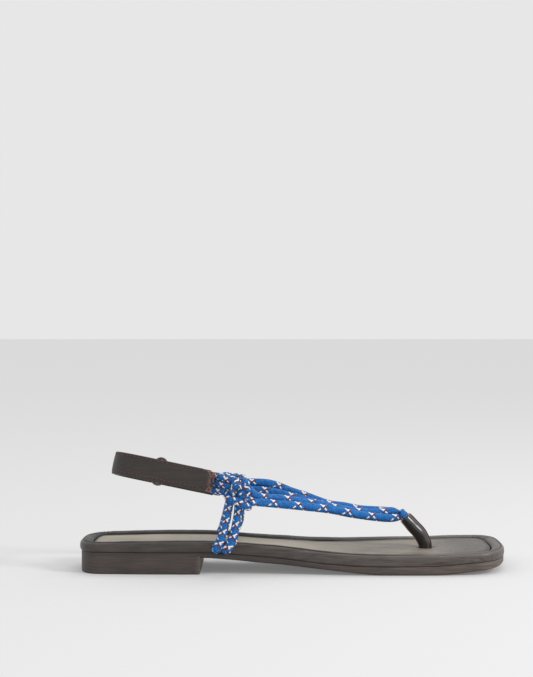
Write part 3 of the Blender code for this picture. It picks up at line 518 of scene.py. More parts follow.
inset, soft = outsole["inset"], outsole["rounding"]
outsoleSection = [(inset + 1.8 * soft, lambda x: heights(x)[0], 1.0)]
for k in range(6):
    angle = pi / 2 * k / 5
    outsoleSection.append((inset + 1.8 * soft * (1 - sin(angle)),
                           lambda x, a=angle: heights(x)[0] + 1.3 * soft * (1 - cos(a)), 0.0))
outsoleSection += [
    (inset, lambda x: heights(x)[0] + 0.6 * (heights(x)[1] - heights(x)[0]), 0.0),
    (inset, lambda x: heights(x)[1] - 0.5, 0.0),
    (inset + 0.12, lambda x: heights(x)[1] - 0.12, 0.0),
    (inset + 0.5, lambda x: heights(x)[1] - 0.02, 0.0),
    (inset + 0.5, lambda x: heights(x)[1] - 0.02, 1.0),
]


# painted light: paler towards the front and at the toe, where the front light falls; the noise is random
# tone
def outsoleToneAndLight(walkedHere, t, x, y):
    return -0.25 + 0.65 * rampUp(x, 90, 60) + 0.8 * rampUp(x, 190, 18) + 0.15 * wander(x, y, 2, 20.0)


def outsoleRelief(walkedHere, t, x, y):  # set back further under the heel
    return 0.5 * rampUp(80 - x, 0, 60), 0.0


bm = bmesh.new()
wrapRound(bm, outsoleSection, len(outsoleSection) - 1, outsoleRelief, outsoleToneAndLight)
closeUp(bm)
outer, inner = edgePoints(stationList(outsole["heelFront"], 24, 18, False))
front = [outer[-1].lerp(inner[-1], k / 12) for k in range(1, 12)]
heelLoop = outer + front + inner[:0:-1]
heelOut = outwardsRound(heelLoop)[0]
heelBm = bmesh.new()
heelShading = heelBm.verts.layers.float.new("toneAndShading")
rings = []
for inwards, z in outsole["heelSteps"]:
    ring = []
    for i, point in enumerate(heelLoop):
        square = abs(point.x - outsole["heelFront"]) < 1e-6
        ends = square and (i == len(outer) - 1 or i == len(outer) + len(front))
        spot = point - heelOut[i] * inwards * (1.3 if ends else 1.0)
        if square:
            spot.x = outsole["heelFront"] - max(0.0, inwards - outsole["heelSteps"][-1][0])
        ring.append(heelBm.verts.new((spot.x * mm, spot.y * mm, z * mm)))
        ring[-1][heelShading] = 0.8 if square else -0.1  # painted light: the heel's front face is paler, as if lit from the front
    ringEdges = [heelBm.edges.new((ring[i - 1], ring[i])) for i in range(len(ring))]
    if rings:
        bmesh.ops.bridge_loops(heelBm, edges=rings[-1] + ringEdges)
    rings.append(ringEdges)
bmesh.ops.holes_fill(heelBm, edges=rings[0] + rings[-1], sides=0)
bmesh.ops.recalc_face_normals(heelBm, faces=heelBm.faces)
heelMesh = bpy.data.meshes.new("heel")
heelBm.to_mesh(heelMesh)
heelBm.free()
bm.from_mesh(heelMesh)
bpy.data.meshes.remove(heelMesh)
outsolePiece = finishPiece("moulded_sole", bm, mouldedRubber(), 38)
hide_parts("outsole")
print("sole moulded")


# braided cord: polyester, 24 carriers in a two-over-two braid, blue with a white and a brown
# tracer yarn running each way round; each yarn is about 0.9 mm wide
cordLook = {
    "turn": 16.2,  # mm along the cord for one turn of a yarn
    "yarns": 12,
    "shade": 0.5,  # mm of the shadow beside a neighbour
    "pushed": 1.2,  # the braid is pushed together in the knots and on the short cords
    "short": 10.0,  # turns added round these, by which their closer tracers are told
    "blue": "#004f9b", "bluePale": "#268ce2", "gap": "#00163a",
    "white": "#f6f4f1", "brown": "#6a2c20",
}


braidSteps = (  # name of the value, how it is made and from what
    ("forward", "MULTIPLY", "along", "pitch"), ("around", "MULTIPLY", "round", "yarns"),
    ("right", "ADD", "forward", "around"), ("left", "SUBTRACT", "forward", "around"),
    ("rightYarn", "FLOOR", "right"), ("leftYarn", "FLOOR", "left"),
    # which of the two crossing yarns lies on top
    ("bothYarns", "ADD", "rightYarn", "leftYarn"), ("crossing", "FLOORED_MODULO", "bothYarns", 4.0),
    ("rightOver", "LESS_THAN", "crossing", 1.5),
    ("topYarn", "MIX", "rightOver", "leftYarn", "rightYarn"),
    ("yarn", "FLOORED_MODULO", "topYarn", "yarns"),
    # round across the yarn
    ("rightPart", "FRACT", "right"), ("leftPart", "FRACT", "left"),
    ("across", "MIX", "rightOver", "leftPart", "rightPart"),
    ("fromMiddle", "MULTIPLY_ADD", "across", 2.0, -1.0), ("offMiddle", "ABSOLUTE", "fromMiddle"),
    ("slope", "POWER", "offMiddle", 2.0), ("hill", "SUBTRACT", 1.0, "slope"),
    # low at both ends of its run, where it dives under the next ones
    ("rightSum", "ADD", "rightYarn", "left"), ("rightTurn", "FLOORED_MODULO", "rightSum", 4.0),
    ("rightRun", "MULTIPLY", "rightTurn", 0.5),
    ("leftSum", "ADD", "leftYarn", "right"), ("leftTurn", "FLOORED_MODULO", "leftSum", 4.0),
    ("leftHalf", "MULTIPLY", "leftTurn", 0.5), ("leftRun", "SUBTRACT", "leftHalf", 1.0),
    ("run", "MIX", "rightOver", "leftRun", "rightRun"),
    ("fromCentre", "MULTIPLY_ADD", "run", 2.0, -1.0), ("offCentre", "ABSOLUTE", "fromCentre"),
    ("dive", "POWER", "offCentre", 3.0), ("raisedRun", "SUBTRACT", 1.0, "dive"),
    ("height", "MULTIPLY", "hill", "raisedRun"),
    # tracers, twice as close on the short cords
    ("shortCord", "GREATER_THAN", "round", 5.0), ("fewer", "MULTIPLY", "shortCord", 6.0),
    ("every", "SUBTRACT", "yarns", "fewer"), ("tracer", "FLOORED_MODULO", "yarn", "every"),
    ("white", "COMPARE", "tracer", 0.0, 0.4), ("brown", "COMPARE", "tracer", 1.0, 0.4),
    # painted shade between the yarns, and painted shadow where a neighbour shades the cord
    ("lit", "MULTIPLY", "height", 2.0), ("litMost", "MINIMUM", 1.0, "lit"),
    ("deep", "SUBTRACT", 1.0, "litMost"), ("between", "MULTIPLY", "deep", 0.9),
    ("shaded", "MULTIPLY", "toneAndShading", -0.8), ("faded", "MULTIPLY", "patches", 0.5),
)


def braidedCord():
    material, tree, shader = newMaterial("braided polyester cord", {
        "Roughness": 0.5, "Specular IOR Level": 0.3})
    look = cordLook
    uv = addNode(tree, "ShaderNodeUVMap", {"uv_map": "UVMap"})
    split = addNode(tree, "ShaderNodeSeparateXYZ", {}, {0: uv.outputs[0]})
    toneAndShading = addNode(tree, "ShaderNodeAttribute", {"attribute_name": "toneAndShading"})
    place = addNode(tree, "ShaderNodeTexCoord").outputs["Object"]
    patches = addNode(tree, "ShaderNodeTexNoise", {}, {
        "Vector": place, "Scale": 1 / (9 * mm), "Detail": 2.0})
    values = {
        "along": split.outputs[0], "round": split.outputs[1],
        "pitch": look["yarns"] / look["turn"], "yarns": float(look["yarns"]),
        "toneAndShading": toneAndShading.outputs["Fac"], "patches": patches.outputs[0],
    }
    for name, operation, *parts in braidSteps:
        parts = [values[part] if isinstance(part, str) else part for part in parts]
        if operation == "MIX":
            node = addNode(tree, "ShaderNodeMix", {}, dict(zip((0, 2, 3), parts)))
        else:
            node = addNode(tree, "ShaderNodeMath", {"operation": operation}, dict(enumerate(parts)))
        values[name] = node.outputs[0]
    cell = addNode(tree, "ShaderNodeCombineXYZ", {}, {0: values["rightYarn"], 1: values["leftYarn"]})
    chance = addNode(tree, "ShaderNodeTexWhiteNoise", {"noise_dimensions": "2D"}, {0: cell.outputs[0]})
    paler = addNode(tree, "ShaderNodeMath", {"operation": "MULTIPLY_ADD"}, {
        0: chance.outputs[0], 1: 0.6, 2: values["faded"]})
    colour = addNode(tree, "ShaderNodeMix", {"data_type": "RGBA"}, {
        0: paler.outputs[0], 6: tint(look["blue"]), 7: tint(look["bluePale"])})
    for share, over in (("between", "gap"), ("white", "white"), ("brown", "brown"), ("shaded", "gap")):
        colour = addNode(tree, "ShaderNodeMix", {"data_type": "RGBA"}, {
            0: values[share], 6: colour.outputs[2], 7: tint(look[over])})
    tree.links.new(colour.outputs[2], shader.inputs["Base Color"])
    raised = addNode(tree, "ShaderNodeBump", {}, {
        "Height": values["height"], "Strength": 0.9, "Distance": 0.3 * mm})
    tree.links.new(raised.outputs[0], shader.inputs["Normal"])
    return material


cords = {  # tracers' start along and round the cord (10 for a short one), then x, y, z, thickness
    "outer lower": (6.2, 0.13, (
        (61.5, -33.5, 44.4, 5.0), (65.0, -32.2, 42.5, 5.0), (69.5, -28.0, 41.5, 5.0),
        (79.5, -21.9, 39.9, 5.0), (97.5, -13.9, 37.2, 5.0), (111.2, -7.8, 34.9, 5.0),
        (122.7, -3.0, 32.1, 5.0), (133.0, 1.6, 30.0, 5.0), (143.5, 6.2, 28.3, 5.0),
        (148.6, 8.6, 28.0, 5.0), (151.4, 10.8, 28.1, 4.7), (154.6, 12.5, 28.4, 3.6))),
    "outer upper": (2.2, 0.12, (
        (57.0, -33.1, 45.1, 5.0), (59.7, -35.8, 48.5, 5.0), (63.2, -34.4, 49.0, 5.0),
        (66.2, -30.0, 46.1, 5.0), (70.0, -25.2, 44.0, 5.0), (84.0, -17.0, 41.9, 5.0),
        (98.8, -8.7, 38.7, 5.0), (111.2, -2.6, 35.8, 5.0), (122.7, 2.3, 33.1, 5.0),
        (133.0, 6.4, 31.4, 5.0), (142.5, 9.6, 31.2, 5.0), (147.6, 11.4, 31.6, 5.0),
        (151.0, 12.6, 30.6, 4.8), (154.4, 12.9, 28.9, 3.6))),
    "inner upper": (1.3, 0.10, (
        (57.5, 26.5, 46.8, 5.0), (62.7, 26.0, 47.3, 5.0), (74.0, 24.5, 47.0, 5.0),
        (82.2, 23.8, 44.7, 5.0), (88.5, 23.1, 42.2, 5.0), (97.5, 22.4, 39.4, 5.0),
        (110.7, 21.0, 34.8, 5.0), (119.8, 20.2, 33.6, 5.0), (130.0, 19.2, 31.8, 5.0),
        (140.8, 18.1, 31.2, 5.0), (147.0, 16.6, 30.9, 5.0), (151.0, 14.4, 30.0, 4.8),
        (154.4, 13.0, 28.8, 3.6))),
    "inner lower": (9.3, 0.10, (
        (57.5, 25.2, 42.7, 5.0), (62.7, 23.5, 43.3, 5.0), (75.8, 20.9, 42.5, 5.0),
        (87.8, 19.1, 39.8, 5.0), (99.5, 17.8, 36.7, 5.0), (112.0, 16.4, 33.6, 5.0),
        (129.5, 14.6, 30.7, 5.0), (143.3, 14.2, 29.0, 5.0), (150.0, 14.0, 28.4, 4.8),
        (154.4, 12.8, 28.2, 3.6))),
    "outer rear upright": (7.9, 10.0, (
        (53.0, -31.0, 46.1, 5.0), (51.6, -31.9, 36.5, 4.8), (50.6, -32.0, 31.0, 4.8),
        (49.2, -32.1, 25.8, 5.0), (47.7, -32.0, 20.5, 5.6), (45.5, -31.7, 16.2, 5.8),
        (45.0, -30.8, 14.9, 5.2), (44.5, -27.0, 14.0, 3.2))),
    "outer front upright": (13.3, 10.0, (
        (58.0, -31.0, 46.1, 5.0), (57.3, -31.8, 36.5, 4.8), (56.4, -31.9, 30.5, 4.9),
        (55.3, -31.9, 24.5, 5.3), (53.3, -31.8, 18.5, 5.9), (51.2, -31.6, 15.8, 6.0),
        (50.6, -30.7, 14.6, 5.4), (50.1, -26.6, 13.8, 3.2))),
    "inner rear upright": (3.9, 10.0, (
        (52.5, 26.6, 42.2, 5.0), (50.3, 26.7, 33.6, 5.0), (48.5, 26.8, 26.4, 5.0),
        (46.8, 26.5, 20.2, 5.0), (44.9, 26.1, 16.0, 5.0), (44.4, 24.8, 14.5, 4.4),
        (43.9, 20.8, 13.6, 3.0))),
    "inner front upright": (10.1, 10.0, (
        (57.0, 26.6, 42.2, 5.0), (57.3, 26.2, 33.1, 5.0), (57.5, 26.3, 25.9, 5.0),
        (54.5, 25.7, 18.5, 5.0), (51.3, 25.3, 15.6, 5.0), (50.7, 24.0, 14.2, 4.4),
        (50.1, 20.0, 13.2, 3.0))),
    "post loop": (3.4, 10.0, (
        (160.4, 10.6, 23.2, 3.2), (158.0, 10.4, 26.1, 3.9), (156.3, 10.1, 28.1, 4.6),
        (155.6, 9.9, 29.4, 5.0), (155.3, 11.2, 30.1, 5.0), (155.2, 12.5, 30.3, 5.0),
        (155.3, 13.8, 30.1, 5.0), (155.6, 15.1, 29.4, 5.0), (156.3, 14.9, 28.1, 4.6),
        (158.0, 14.6, 26.1, 3.9), (160.4, 14.4, 23.2, 3.2))),
    "outer rear top": (12.2, 10.0, (
        (36.0, -24.0, 57.8, 3.0), (40.2, -24.0, 56.9, 3.2), (44.6, -24.3, 56.0, 4.3),
        (50.7, -29.5, 55.1, 4.6), (58.5, -31.0, 53.2, 4.6))),
    "outer rear middle": (6.8, 10.0, (
        (35.2, -24.5, 53.9, 3.0), (39.4, -24.5, 53.0, 3.2), (43.8, -24.8, 52.1, 4.3),
        (50.7, -29.5, 51.3, 4.6), (58.5, -31.0, 50.2, 4.6))),
    "outer rear bottom": (1.0, 10.0, (
        (34.4, -25.0, 50.0, 3.0), (38.6, -25.0, 49.1, 3.2), (43.0, -25.3, 48.2, 4.3),
        (50.7, -29.5, 47.6, 4.6), (58.5, -31.0, 47.2, 4.6))),
    "inner rear top": (5.0, 10.0, (
        (35.8, 22.0, 51.7, 3.0), (41.1, 22.0, 50.7, 3.0), (46.1, 22.3, 49.6, 4.0),
        (48.0, 25.1, 51.6, 4.4), (55.8, 26.6, 49.7, 4.4))),
    "inner rear middle": (10.5, 10.0, (
        (35.0, 21.5, 47.8, 3.0), (40.3, 21.5, 46.7, 3.0), (45.3, 21.8, 45.7, 4.0),
        (48.0, 25.1, 47.8, 4.4), (55.8, 26.6, 46.7, 4.4))),
    "inner rear bottom": (15.0, 10.0, (
        (34.2, 21.0, 43.9, 3.0), (39.5, 21.0, 42.8, 3.0), (44.5, 21.3, 41.8, 4.0),
        (48.0, 25.1, 44.1, 4.4), (55.8, 26.6, 43.7, 4.4))),
}
knot = {
    "outer": (58.5, -31.0, 48.0, -1),
    "inner": (55.8, 26.6, 44.5, 1),
    "strands": (  # thickness, tracer offset, then forwards, outwards, up in mm from the knot's middle
        (5.0, 6.5, ((-6.5, -2.0, -1.0), (-6.8, 2.0, -3.0), (-4.0, 5.0, -4.4), (0.0, 5.6, -5.7),
                    (3.5, 4.0, -7.8), (4.5, 0.5, -8.5), (2.0, -3.0, -7.0), (-2.0, -4.0, -5.0))),
        (4.3, 11.5, ((-3.0, 1.6, -3.6), (-3.6, 4.4, -0.4), (-3.0, 5.2, 2.6), (-2.5, 4.4, 5.0),
                     (-0.8, 1.8, 6.1), (1.5, -1.4, 5.4))),
        (4.3, 2.0, ((-0.6, -1.6, 4.6), (1.9, 1.4, 5.5), (3.4, 3.9, 4.7), (2.9, 4.2, 2.6), (0.4, 2.0, 0.9))),
        (3.1, 8.0, ((-2.6, 3.4, 0.8), (-2.2, 6.0, 2.9), (-0.9, 6.8, 4.3), (0.5, 6.2, 3.2), (-0.2, 5.6, 1.2),
                    (-1.6, 4.2, 0.0))),
        (4.3, 14.0, ((-0.4, 2.4, 2.2), (2.0, 5.4, 2.6), (4.4, 4.6, 0.8), (3.8, 4.2, -1.6), (1.0, 4.6, -2.6),
                     (-1.8, 3.0, -2.6))),
    ),
}


def layCord(bm, points, start=0.0, roll=0.0, tight=1.0, step=0.8, sides=18):
    rows, length = smoothRoute(points, step)
    frames = []
    side = Vector((0, 1, 0))
    for i, row in enumerate(rows):
        ahead = (rows[min(i + 1, len(rows) - 1)] - rows[max(i - 1, 0)]).xyz.normalized()
        side = (side - ahead * side.dot(ahead)).normalized()
        frames.append((row.xyz, side.copy(), ahead.cross(side), row.w / 2))

    def put(s, t):
        middle, side, up, radius = frames[round(s * (len(rows) - 1))]
        angle = 2 * pi * t
        return middle + (side * cos(angle) + up * sin(angle)) * radius

    made = bendGrid(bm, len(rows) - 1, sides, put, length, 1.0)
    uvLayer = bm.loops.layers.uv["UVMap"]
    for face in {f for v in made for f in v.link_faces}:
        for loop in face.loops:
            loop[uvLayer].uv.x = loop[uvLayer].uv.x * tight + start
            loop[uvLayer].uv.y += roll
    return made, rows


bm = bmesh.new()
laid = []
for start, roll, route in cords.values():
    tight = cordLook["pushed"] if roll == cordLook["short"] else 1.0
    laid.append(layCord(bm, route, start, roll, tight))
for x, y, z, side in (knot["outer"], knot["inner"]):
    for thick, start, strand in knot["strands"]:
        moved = [(x + f, y + side * o, z + u, thick) for f, o, u in strand]
        laid.append(layCord(bm, moved, start, cordLook["short"], cordLook["pushed"]))
middles = KDTree(sum(len(rows) for made, rows in laid))
owners = []
for k, (made, rows) in enumerate(laid):
    for row in rows:
        middles.insert(row.xyz, len(owners))
        owners.append((k, row.w / 2))
middles.balance()
depthLayer = bm.verts.layers.float["toneAndShading"]
for k, (made, rows) in enumerate(laid):  # painted shade: darker where a cord presses against another
    for vert in made:
        for middle, i, away in middles.find_range(vert.co / mm, 4.0):
            if owners[i][0] != k:
                gap = max(0.0, away - owners[i][1])
                vert[depthLayer] = min(vert[depthLayer], gap / cordLook["shade"] - 1)
closeUp(bm)
cordPiece = finishPiece("braided_cords", bm, braidedCord())
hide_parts("rope_upper")
print("cords laid")


# the toe post: a strip of leather rolled round a core, its cut edge showing along the front
postLook = {
    "name": "glazed leather, toe post",
    "dark": "#100b09", "light": "#191311", "rubbedAndLit": "#3a322f", "folded": "#060404",
    "pore": 0.7, "crease": 2.0, "rough": 0.3, "bump": 0.15, "streak": 0.05,
    "coat": 1.0, "coatRough": 0.26, "coatIor": 1.65, "shine": 0.25,
}
post = {
    "foot": (168.5, 12.53, 9.0),
    "rise": 18.96,
    "axis": (  # share of the height, how far back it leans, half thickness, half width
        (0.00, 0.0, 3.75, 3.8), (0.13, 0.1, 3.8, 3.85), (0.30, 1.3, 3.95, 4.1), (0.516, 3.75, 4.1, 4.7),
        (0.735, 7.6, 4.05, 5.2), (0.87, 9.8, 3.9, 5.4), (1.00, 12.1, 3.7, 5.5)),
    "wall": 1.0,
    "bore": 0.55,  # how deep the mouth is, as a share of the height
}


def postSpot(part):
    x, y, z = post["foot"]
    return Vector((x - easeRows(post["axis"], part, 1), y, z + part * post["rise"]))


def postFrame(part):  # the post's middle there, and which way its front and its side face
    ahead = (postSpot(min(part + 0.02, 1.0)) - postSpot(max(part - 0.02, 0.0))).normalized()
    sideways = Vector((0, 1, 0))
    return postSpot(part), sideways.cross(ahead), sideways


def postPlace(s, t):  # up the outside, then over the lip and down the bore
    outside = t <= 0.72
    part = t / 0.72 if outside else 1 - (t - 0.76) / 0.24 * (1 - post["bore"])
    part = min(max(part, 0.0), 1.0)
    middle, along, sideways = postFrame(part)
    thin, wide = easeRows(post["axis"], part, 2), easeRows(post["axis"], part, 3)
    if not outside:
        thin, wide = thin - post["wall"], wide - post["wall"]
    angle = 2 * pi * s
    ripple = 0.0
    if outside:
        ripple = 0.10 * wander(6 * cos(angle), 6 * sin(angle), part * 30, 5.0)
    return middle + along * cos(angle) * (thin + ripple) + sideways * sin(angle) * (wide + ripple)


def postLipAndShade(s, t):
    # paler along the lip; painted shade at the foot, where the post stands in the dimple
    rimLine = bell(t - 0.74, 0.02)
    return 0.5 * rimLine - 0.9 * bell(t, 0.07)


bm = bmesh.new()
bendGrid(bm, 40, 60, postPlace, 26.0, 30.0, postLipAndShade)
closeUp(bm)
postPiece = finishPiece("rolled_post", bm, leather(postLook))
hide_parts("toe_post")

# the strip's cut edge, a thin raw line up the front of the post
edgeLook = dict(postLook, name="raw cut leather edge", dark="#452820", light="#5e3629",
                rubbedAndLit="#93604a", rough=0.7, coat=0.0)
bm = bmesh.new()
edgeRows = []
for k in range(15):
    part = 0.03 + 0.95 * k / 14
    middle, along, sideways = postFrame(part)
    angle = radians(-16)
    thin, wide = easeRows(post["axis"], part, 2), easeRows(post["axis"], part, 3)
    spot = middle + along * cos(angle) * thin + sideways * sin(angle) * wide
    edgeRows.append((*spot, 0.8))
layCord(bm, edgeRows, step=0.6, sides=8)
closeUp(bm)
finishPiece("post_cut_edge", bm, leather(edgeLook))
print("toe post rolled")


# the heel strap: two layers of leather, stitched near both edges and round the free tip
strapLook = {
    "name": "dyed cowhide, stitched strap",
    "dark": "#201b19", "light": "#2a2422", "rubbedAndLit": "#7a6a60", "folded": "#0f0c0b",
    "pore": 0.8, "crease": 1.4, "rough": 0.46, "bump": 0.5, "streak": 0.10,
}
strap = {
    "place": Matrix.Translation((14.5, -3.5, 55.4)) @ Matrix.Rotation(radians(11.7), 4, "Y")
    @ Matrix.Rotation(radians(-7.4), 4, "X"),
    "width": 13.0,
    "thick": 2.2,
    "half": 27.0,
    "back": -29.5,
    "corner": 15.0,
    "tip": 27.0,
    "innerEnd": 29.0,
    "stitch": 2.35,  # from one stitch to the next
    "stitchSize": (1.45, 0.55, 0.42),
    "stitchInset": 1.35,
    "thread": "#74392b", "threadDark": "#5c2a1e",
}


def strapRun():  # middle line of the band in its own plane, from the free tip to the inner end
    half, corner = strap["half"], strap["corner"]
    middleX = strap["back"] + corner
    steps = range(int((strap["tip"] - middleX) / 0.75) + 1)
    spots = [(Vector((strap["tip"] - k * 0.75, -half)), Vector((0, -1))) for k in steps]
    for sideSign, angles in ((-1, range(0, 91, 5)), (1, range(90, -1, -5))):
        middle = Vector((middleX, sideSign * (half - corner)))
        for angle in angles:
            out = Vector((-sin(radians(angle)), sideSign * cos(radians(angle))))
            spots.append((middle + out * corner, out))
    for k in range(1, 41):
        spots.append((Vector((middleX + (strap["innerEnd"] - middleX) * k / 40, half)), Vector((0, 1))))
    kept = [spots[0]]
    for spot in spots[1:]:
        if (spot[0] - kept[-1][0]).length > 0.05:
            kept.append(spot)
    walked = [0.0]
    for a, b in zip(kept, kept[1:]):
        walked.append(walked[-1] + (b[0] - a[0]).length)
    return kept, walked


strapSpots, strapWalked = strapRun()


def strapHalfWidth(walkedHere):
    half = strap["width"] / 2
    if walkedHere < half:
        gone = 1 - walkedHere / half
        return half * sqrt(max(1 - gone ** 2.3, 0.0)) * 0.98 + 0.12
    return half


strapSection = []  # round the band: outer face up, over the top edge, inner face down
for k in range(48):
    angle = 2 * pi * k / 48
    a, b = cos(angle), sin(angle)
    strapSection.append((abs(a) ** 0.28 * (1 if a > 0 else -1), abs(b) ** 0.42 * (1 if b > 0 else -1)))


def strapPlace(s, t):
    i = round(s * (len(strapSpots) - 1))
    point, out = strapSpots[i]
    half = strapHalfWidth(strapWalked[i])
    across, up = strapSection[round(t * 48) % 48]
    z = up * half
    reach = across * strap["thick"] / 2
    doubled = point.y > 0 and point.x > strap["innerEnd"] - 8.8
    if doubled and across < 0:
        reach -= 3.6 + 1.1
    if across > 0:  # stitches pull the face in, and it swells a little between the two rows
        reach += 0.22 * max(0.0, 1 - (z / (half + 0.01)) ** 2) - 0.18 * bell(abs(z) - (half - 1.5), 0.5)
        reach += 0.06 * wander(point.x, z, point.y, 6.0)
    flat = point + out * reach
    return strap["place"] @ Vector((flat.x, flat.y, z))


def strapEdgesAndShade(s, t):
    i = round(s * (len(strapSpots) - 1))
    across, up = strapSection[round(t * 48) % 48]
    half = strapHalfWidth(strapWalked[i])
    rimLine = max(0.0, abs(up) - 0.93) / 0.07
    tip = bell(strapWalked[i], 1.2)
    # painted shade on the tight bend at the back
    turning = bell(strapSpots[i][0].x - strap["back"], 4.0)
    stitched = bell(abs(up * half) - (half - 1.5), 0.4) * (across > 0)
    return 0.12 * rimLine + 0.6 * tip - 0.35 * stitched - 0.5 * turning


bm = bmesh.new()
bendGrid(bm, len(strapSpots) - 1, 48, strapPlace, strapWalked[-1], 30.0, strapEdgesAndShade)
closeUp(bm)
strapPiece = finishPiece("stitched_strap", bm, leather(strapLook))
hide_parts("heel_strap")

# thread: bonded polyester, about 0.6 mm, lying in short sunk stitches
threadMaterial = mottled("bonded polyester thread", 1.5, 2.0, strap["threadDark"], strap["thread"], {
    "Roughness": 0.7, "Sheen Weight": 0.2})[0]


def addStitch(bm, middle, along, out):
    made = bmesh.ops.create_icosphere(bm, subdivisions=1, radius=0.5)
    side = along.cross(out).normalized()
    turn = Matrix((along, side, out)).transposed().to_4x4()
    size = Matrix.Diagonal((*strap["stitchSize"], 1.0))
    laidThere = Matrix.Scale(mm, 4) @ Matrix.Translation(middle) @ turn @ size
    bmesh.ops.transform(bm, matrix=laidThere, verts=made["verts"])


def faceSpot(walkedHere, z):  # a point on the strap's outer face, and the way it faces
    i = max(k for k in range(len(strapWalked)) if strapWalked[k] <= walkedHere + 1e-6)
    j = min(i + 1, len(strapWalked) - 1)
    span = max(strapWalked[j] - strapWalked[i], 1e-6)
    t = min(max((walkedHere - strapWalked[i]) / span, 0.0), 1.0) if j > i else 0.0
    point = strapSpots[i][0].lerp(strapSpots[j][0], t)
    out = strapSpots[i][1].lerp(strapSpots[j][1], t).normalized()
    reach = strap["thick"] / 2 + 0.02
    flat = point + out * reach
    facing = strap["place"].to_3x3() @ Vector((out.x, out.y, 0))
    return strap["place"] @ Vector((flat.x, flat.y, z)), facing.normalized()


# stitch line: along the top, round the tip and back along the bottom
inset, half = strap["stitchInset"], strap["width"] / 2
total = strapWalked[-1]
steps = range(int((total - 1.5 - half) / 0.5))
line = [(total - 1.5 - 0.5 * k, half - inset) for k in steps]
for angle in range(0, 181, 4):
    line.append((half - (half - inset) * sin(radians(angle)), (half - inset) * cos(radians(angle))))
line += [(half + 0.5 * k, inset + 0.6 - half) for k in steps]
bm = bmesh.new()
gone = 0.0
for (w1, z1), (w2, z2) in zip(line, line[1:]):
    a, out = faceSpot(w1, z1)
    b = faceSpot(w2, z2)[0]
    gone += (b - a).length
    if gone >= strap["stitch"]:
        gone -= strap["stitch"]
        addStitch(bm, a, (b - a).normalized(), out)
finishPiece("strap_stitches", bm, threadMaterial)
print("strap stitched")


# folded tab, patch and ring of the fastening, under the strap's free end
tabLook = dict(strapLook, name="dyed cowhide, folded tab", dark="#3a2a26", light="#4a3530",
               rubbedAndLit="#6b4a40", rough=0.6)
fastening = {
    "shorter": 1.9,  # the tab and the patch end this much further back along the band
    "fuzz": "#93625a", "fuzzGapShade": "#1c0f0d",
    "wire": "#7d7974", "wireDark": "#3f3c39",
}


def fromNode(name, node, material, sharp, shorter=0.0):  # a CAD node's own shape, merged and smoothed
    bm = bmesh.new()
    bm.from_mesh(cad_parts[node].data)
    bmesh.ops.remove_doubles(bm, verts=bm.verts, dist=1e-6)
    toBand = strap["place"].inverted()
    for vert in bm.verts:  # only its front end is moved
        spot = toBand @ (vert.co / mm)
        spot.x -= shorter * rampUp(spot.x, 12.0, 14.0)
        vert.co = (strap["place"] @ spot) * mm
    bmesh.ops.recalc_face_normals(bm, faces=bm.faces)
    bm.verts.layers.float.new("toneAndShading")
    piece = finishPiece(name, bm, material, sharp)
    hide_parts(node)


fromNode("folded_tab", "strap_tab", leather(tabLook), 30, fastening["shorter"])

# hook-and-loop tape: brushed nylon loops, a matted fuzz in red-brown with painted shade in the gaps between
# tufts
fuzzMaterial, tree, shader = newMaterial("nylon hook-and-loop tape", {
    "Roughness": 0.9, "Sheen Weight": 0.6})
place = addNode(tree, "ShaderNodeTexCoord").outputs["Object"]
matted = addNode(tree, "ShaderNodeTexNoise", {}, {
    "Vector": place, "Scale": 1 / (1.5 * mm), "Detail": 5.0, "Roughness": 0.8})
tufts = addNode(tree, "ShaderNodeMapRange", {}, {
    "Value": matted.outputs[0], "From Min": 0.44, "From Max": 0.58})
fuzzColour = addNode(tree, "ShaderNodeMix", {"data_type": "RGBA"}, {
    0: tufts.outputs[0], 6: tint(fastening["fuzzGapShade"]), 7: tint(fastening["fuzz"])})
tree.links.new(fuzzColour.outputs[2], shader.inputs["Base Color"])
raised = addNode(tree, "ShaderNodeBump", {}, {
    "Height": matted.outputs[0], "Strength": 1.0, "Distance": 1.0 * mm})
tree.links.new(raised.outputs[0], shader.inputs["Normal"])
fromNode("loop_tape", "hook_patch", fuzzMaterial, 30, fastening["shorter"])

# ring: steel wire with a dark nickel plating, lightly brushed
ringMaterial, tree, shader, brushed, colour = mottled(
    "dark nickel plated steel wire", 0.8, 3.0, fastening["wireDark"], fastening["wire"], {"Metallic": 1.0})
ringRough = addNode(tree, "ShaderNodeMapRange", {}, {
    "Value": brushed.outputs[0], "To Min": 0.2, "To Max": 0.42})
tree.links.new(ringRough.outputs[0], shader.inputs["Roughness"])
fromNode("wire_ring", "strap_ring", ringMaterial, 60)
print("fastening made")


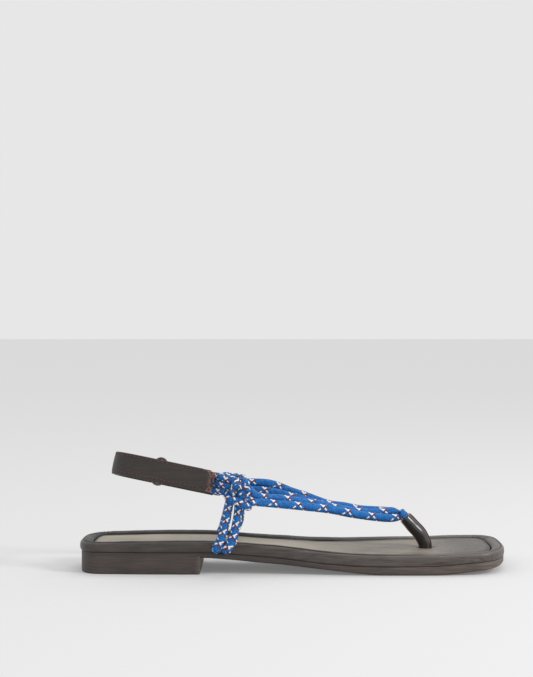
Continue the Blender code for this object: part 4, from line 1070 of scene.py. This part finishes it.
# studio: pale matt floor, soft light all round and from above, a strip softbox at the front right
studio = {
    "backdrop": "#e7e7e7",
    "paper": "#cacaca", "paperLight": "#cccccc",
    "glow": 0.24,  # the paper lies on a light table
    "sun": 0.5,
    "sunAngle": 40,
    "sunTurn": (-28, 14),
    "strip": 13.0,
    "stripSize": (0.18, 0.6),
    "stripPlace": (1.40, -0.67, 0.93),
    "stripAim": (0.15, 0.0, 0.02),
    "lens": 76.57,
    "camera": (73.5, -851, 135),
}
bm = bmesh.new()
bmesh.ops.create_grid(bm, x_segments=1, y_segments=1, size=300.0)
floorMesh = bpy.data.meshes.new("floor")
bm.to_mesh(floorMesh)
bm.free()
floorMaterial, tree, shader, _, colour = mottled(
    "matt studio paper", 4.0, 2.0, studio["paper"], studio["paperLight"], {
        "Emission Strength": studio["glow"], "Roughness": 1.0, "Specular IOR Level": 0.0})
tree.links.new(colour.outputs[2], shader.inputs["Emission Color"])
floorMesh.materials.append(floorMaterial)
addObject("studio_floor", floorMesh)

world = bpy.data.worlds.new("studio")
bpy.context.scene.world = world
world.use_nodes = True
world.node_tree.nodes["Background"].inputs["Color"].default_value = tint(studio["backdrop"])
world.node_tree.nodes["Background"].inputs["Strength"].default_value = 1.0

sun = bpy.data.lights.new("overhead softbox", "SUN")
sun.energy = studio["sun"]
sun.angle = radians(studio["sunAngle"])
sunObject = addObject("overhead softbox", sun)
sunObject.rotation_euler = (radians(studio["sunTurn"][0]), radians(studio["sunTurn"][1]), 0)

strip = bpy.data.lights.new("strip softbox", "AREA")
strip.shape = "RECTANGLE"
strip.size, strip.size_y = studio["stripSize"]
strip.energy = studio["strip"]
stripObject = addObject("strip softbox", strip)
stripObject.location = studio["stripPlace"]
aim = Vector(studio["stripAim"]) - stripObject.location
stripObject.rotation_euler = aim.to_track_quat("-Z", "Y").to_euler()

camera = bpy.data.cameras.new("camera")
camera.lens = studio["lens"]
camera.sensor_width = 36
camera.clip_start = 0.01
camera.clip_end = 1000
cameraObject = addObject("camera", camera)
cameraObject.location = [v * mm for v in studio["camera"]]
cameraObject.rotation_euler = (radians(90), 0, 0)
bpy.context.scene.camera = cameraObject
bpy.context.scene.view_settings.view_transform = "Standard"
print("studio lit")
